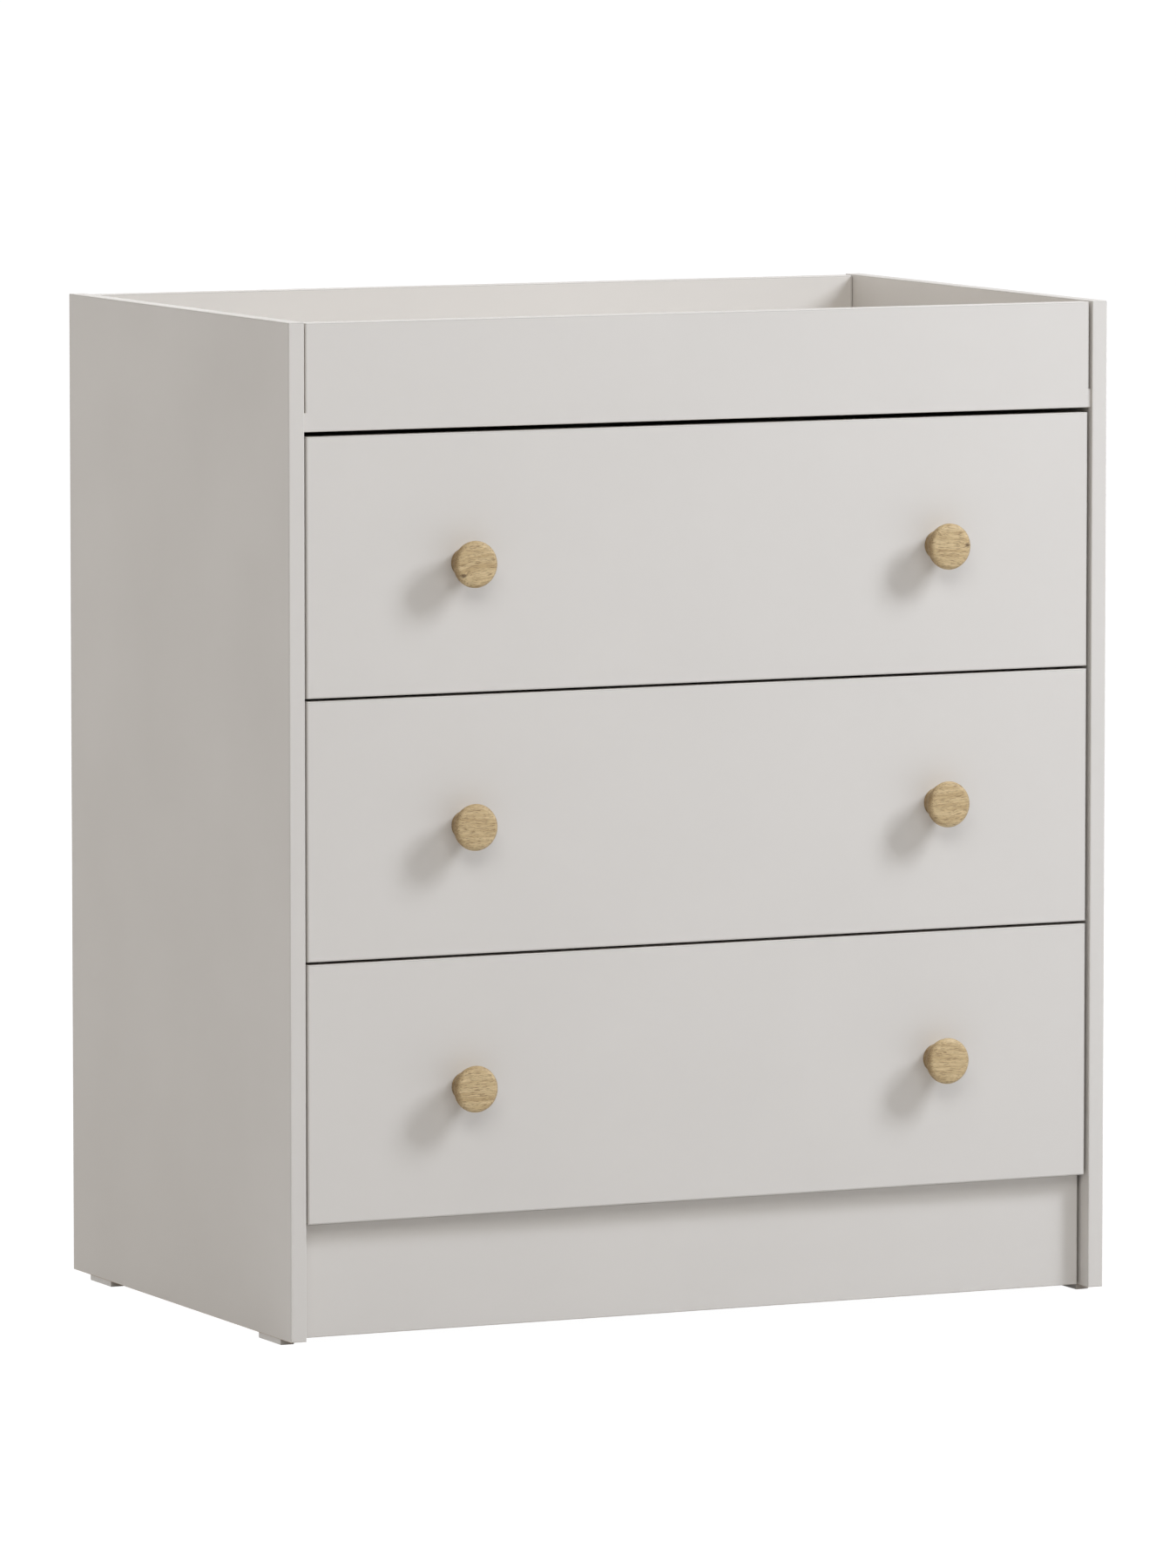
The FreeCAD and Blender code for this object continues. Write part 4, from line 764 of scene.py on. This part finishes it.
def oak_finish(name):
    """Brushed oak under matt lacquer: pale and darker layers of growth, short dark dashes
    where the pores are cut along, fine fibre lines, and darker wood at the end grain."""
    finish, tree, output = new_finish(name)
    grain = add(tree, "Attribute", {"attribute_name": "grain"}).outputs["Vector"]
    knot = add(tree, "Attribute", {"attribute_name": "knot"}).outputs["Fac"]
    end_grain = add(tree, "Attribute", {"attribute_name": "end_grain"}).outputs["Fac"]
    layers = noise(tree, stretched(tree, grain, (0.05, 0.35, 1)), 330, 3)
    dashes = noise(tree, stretched(tree, grain, (0.11, 0.8, 1)), 1300, 3, 0.65)
    fibres = noise(tree, stretched(tree, grain, (0.05, 1, 1)), 3400, 2)
    brightness = noise_spread(tree, fibres, 0.86, 1.14)
    tone = blend_colours(tree, spread(tree, layers, 0.36, 0.64, 0, 1), OAK_PALE, OAK_GOLDEN)
    tone = blend_colours(tree, spread(tree, dashes, 0.5, 0.66, 0, 0.85), tone, OAK_DARK)
    tone = add(tree, "HueSaturation", None, Color=tone, Value=brightness).outputs["Color"]
    tone = blend_colours(tree, spread(tree, end_grain, 0.12, 0.75, 0, 0.62), tone, OAK_END, "MULTIPLY")
    eye = calculate(tree, "ADD", knot, calculate(tree, "MULTIPLY", dashes, 0.5))
    tone = blend_colours(tree, spread(tree, eye, 0.7, 1.15, 0, 0.85), tone, OAK_KNOT)
    height = calculate(tree, "SUBTRACT", calculate(tree, "MULTIPLY", fibres, 0.4),
                       spread(tree, dashes, 0.5, 0.66, 0, 1))
    coat(tree, output, tone, height, 0.55, PORE_DEPTH,
         Roughness=spread(tree, dashes, 0.5, 0.66, 0.5, 0.68), Specular_IOR_Level=0.35)
    return finish


oak = oak_finish("oak")
for name, hand, seed, slope, knot in KNOBS:
    low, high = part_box(f"{name}_knob_{hand}")
    middle = ((low.x + high.x) / 2, high.y, (low.z + high.z) / 2)
    turned = turned_knob(f"{name}_oak_knob_{hand}", middle, seed, slope, knot)
    turned.data.materials.append(oak)
    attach(turned, f"{name}_drawer")
    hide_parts(f"{name}_knob_{hand}")


# ---- Studio ----
# A pale floor and a faintly warm sky that the camera sees as white, and six softboxes: a
# cool key high on the right, a broad one by the camera, and fills on the other sides.
CAMERA_PLACE = (-4.5765, -9.7527, 1.5870)
CAMERA_HEADING = 25.121
CAMERA_PITCH = 5.774
CAMERA_LENS = 252.9
FLOOR_HALF_SIZE = 40
FLOOR_PAPER = (0.68, 0.68, 0.68, 1)
FLOOR_GLOW = 1.17
FLOOR_GLOW_SHARE = 0.85
PAPER_HALF_WIDTH = (0.33, 0.40)
PAPER_HALF_DEPTH = (0.14, 0.19)
PAPER_MIDDLE = 0.075
SKY_LIGHT = 0.30
SKY_COLOUR = (1, 0.95, 0.92, 1)
WHITE = (1, 1, 1, 1)
SUBJECT = (0, -0.25, 0.5)
SOFTBOXES = (
    # name, direction from the subject, distance, width, height, roll, power, colour
    ("key", (0.663, -0.444, 0.600), 4.0, 0.86, 1.5, 16, 110, (0.925, 0.985, 1.085)),
    ("camera_side", (-0.42, -1.0, 0.77), 6.0, 4.2, 2.4, 0, 102, (0.99, 1, 1.01)),
    ("overhead", (0.0, 0.55, 1.0), 3.0, 2.6, 2.0, 0, 13, (0.96, 1, 1.05)),
    ("left", (-1.0, 0.55, 0.25), 4.5, 3.0, 3.0, 0, 28, (1, 1, 1)),
    ("right", (1.0, 0.5, 0.2), 4.5, 3.0, 3.0, 0, 14, (1, 1, 1)),
    ("rear", (0.0, 1.0, 0.25), 4.5, 3.0, 3.0, 0, 60, (1, 1, 1)),
)


def seen_directly(tree):
    """1 for the camera's own rays, mirror rays and rays through glass."""
    path = add(tree, "LightPath")
    seen = calculate(tree, "MAXIMUM", path.outputs["Is Camera Ray"], path.outputs["Is Glossy Ray"])
    return calculate(tree, "MAXIMUM", seen, path.outputs["Is Transmission Ray"])


def studio_floor():
    """A large pale floor, mostly white to the camera, so that a faint shadow stays. Well
    under the cabinet it is bare paper: a soft-edged rectangle, the larger of two slopes."""
    mesh = bpy.data.meshes.new("studio_floor")
    corners = [(x * FLOOR_HALF_SIZE, y * FLOOR_HALF_SIZE, 0)
               for x, y in ((-1, -1), (1, -1), (1, 1), (-1, 1))]
    mesh.from_pydata(corners, [], [(0, 1, 2, 3)])
    floor = bpy.data.objects.new("studio_floor", mesh)
    bpy.context.scene.collection.objects.link(floor)
    finish, tree, output = new_finish("studio_floor")
    split = add(tree, "SeparateXYZ", None, Vector=add(tree, "TexCoord").outputs["Object"])
    across = calculate(tree, "ABSOLUTE", split.outputs["X"])
    behind = away_from(tree, split.outputs["Y"], PAPER_MIDDLE)
    outside = calculate(tree, "MAXIMUM", spread(tree, across, *PAPER_HALF_WIDTH, 0, 1),
                        spread(tree, behind, *PAPER_HALF_DEPTH, 0, 1))
    glow = calculate(tree, "MULTIPLY", seen_directly(tree), FLOOR_GLOW_SHARE)
    share = calculate(tree, "MULTIPLY", glow, outside)
    paper = add(tree, "BsdfDiffuse", None, Color=FLOOR_PAPER).outputs[0]
    white = add(tree, "Emission", None, Color=WHITE, Strength=FLOOR_GLOW).outputs[0]
    mixed = add(tree, "MixShader", None, i0=share, i1=paper, i2=white).outputs[0]
    tree.links.new(mixed, output.inputs["Surface"])
    mesh.materials.append(finish)


def softbox(name, direction, distance, width, height, roll, power, colour):
    """A flat lamp that faces the subject from a direction, rolled by some degrees."""
    lamp = bpy.data.lights.new(name, "AREA")
    lamp.shape = "RECTANGLE"
    lamp.size = width
    lamp.size_y = height
    lamp.energy = power
    lamp.color = colour
    holder = bpy.data.objects.new(name, lamp)
    bpy.context.scene.collection.objects.link(holder)
    towards = Vector(direction).normalized()
    holder.location = Vector(SUBJECT) + distance * towards
    holder.rotation_mode = "QUATERNION"
    rolled = Quaternion((0, 0, 1), math.radians(roll))
    holder.rotation_quaternion = towards.to_track_quat("Z", "Y") @ rolled


studio_floor()
world = bpy.data.worlds.new("studio_sky")
world.use_nodes = True
bpy.context.scene.world = world
tree = world.node_tree
tree.nodes.clear()
seen = seen_directly(tree)
sky = add(tree, "Background", None, Color=blend_colours(tree, seen, SKY_COLOUR, WHITE),
          Strength=spread(tree, seen, 0, 1, SKY_LIGHT, 1))
tree.links.new(sky.outputs[0], tree.nodes.new("ShaderNodeOutputWorld").inputs["Surface"])
for box in SOFTBOXES:
    softbox(*box)

lens = bpy.data.cameras.new("camera")
lens.lens = CAMERA_LENS
lens.sensor_width = 36
lens.clip_end = 200
camera = bpy.data.objects.new("camera", lens)
bpy.context.scene.collection.objects.link(camera)
camera.location = CAMERA_PLACE
camera.rotation_euler = (math.radians(90 - CAMERA_PITCH), 0, math.radians(-CAMERA_HEADING))
bpy.context.scene.camera = camera
bpy.context.scene.view_settings.view_transform = "Standard"
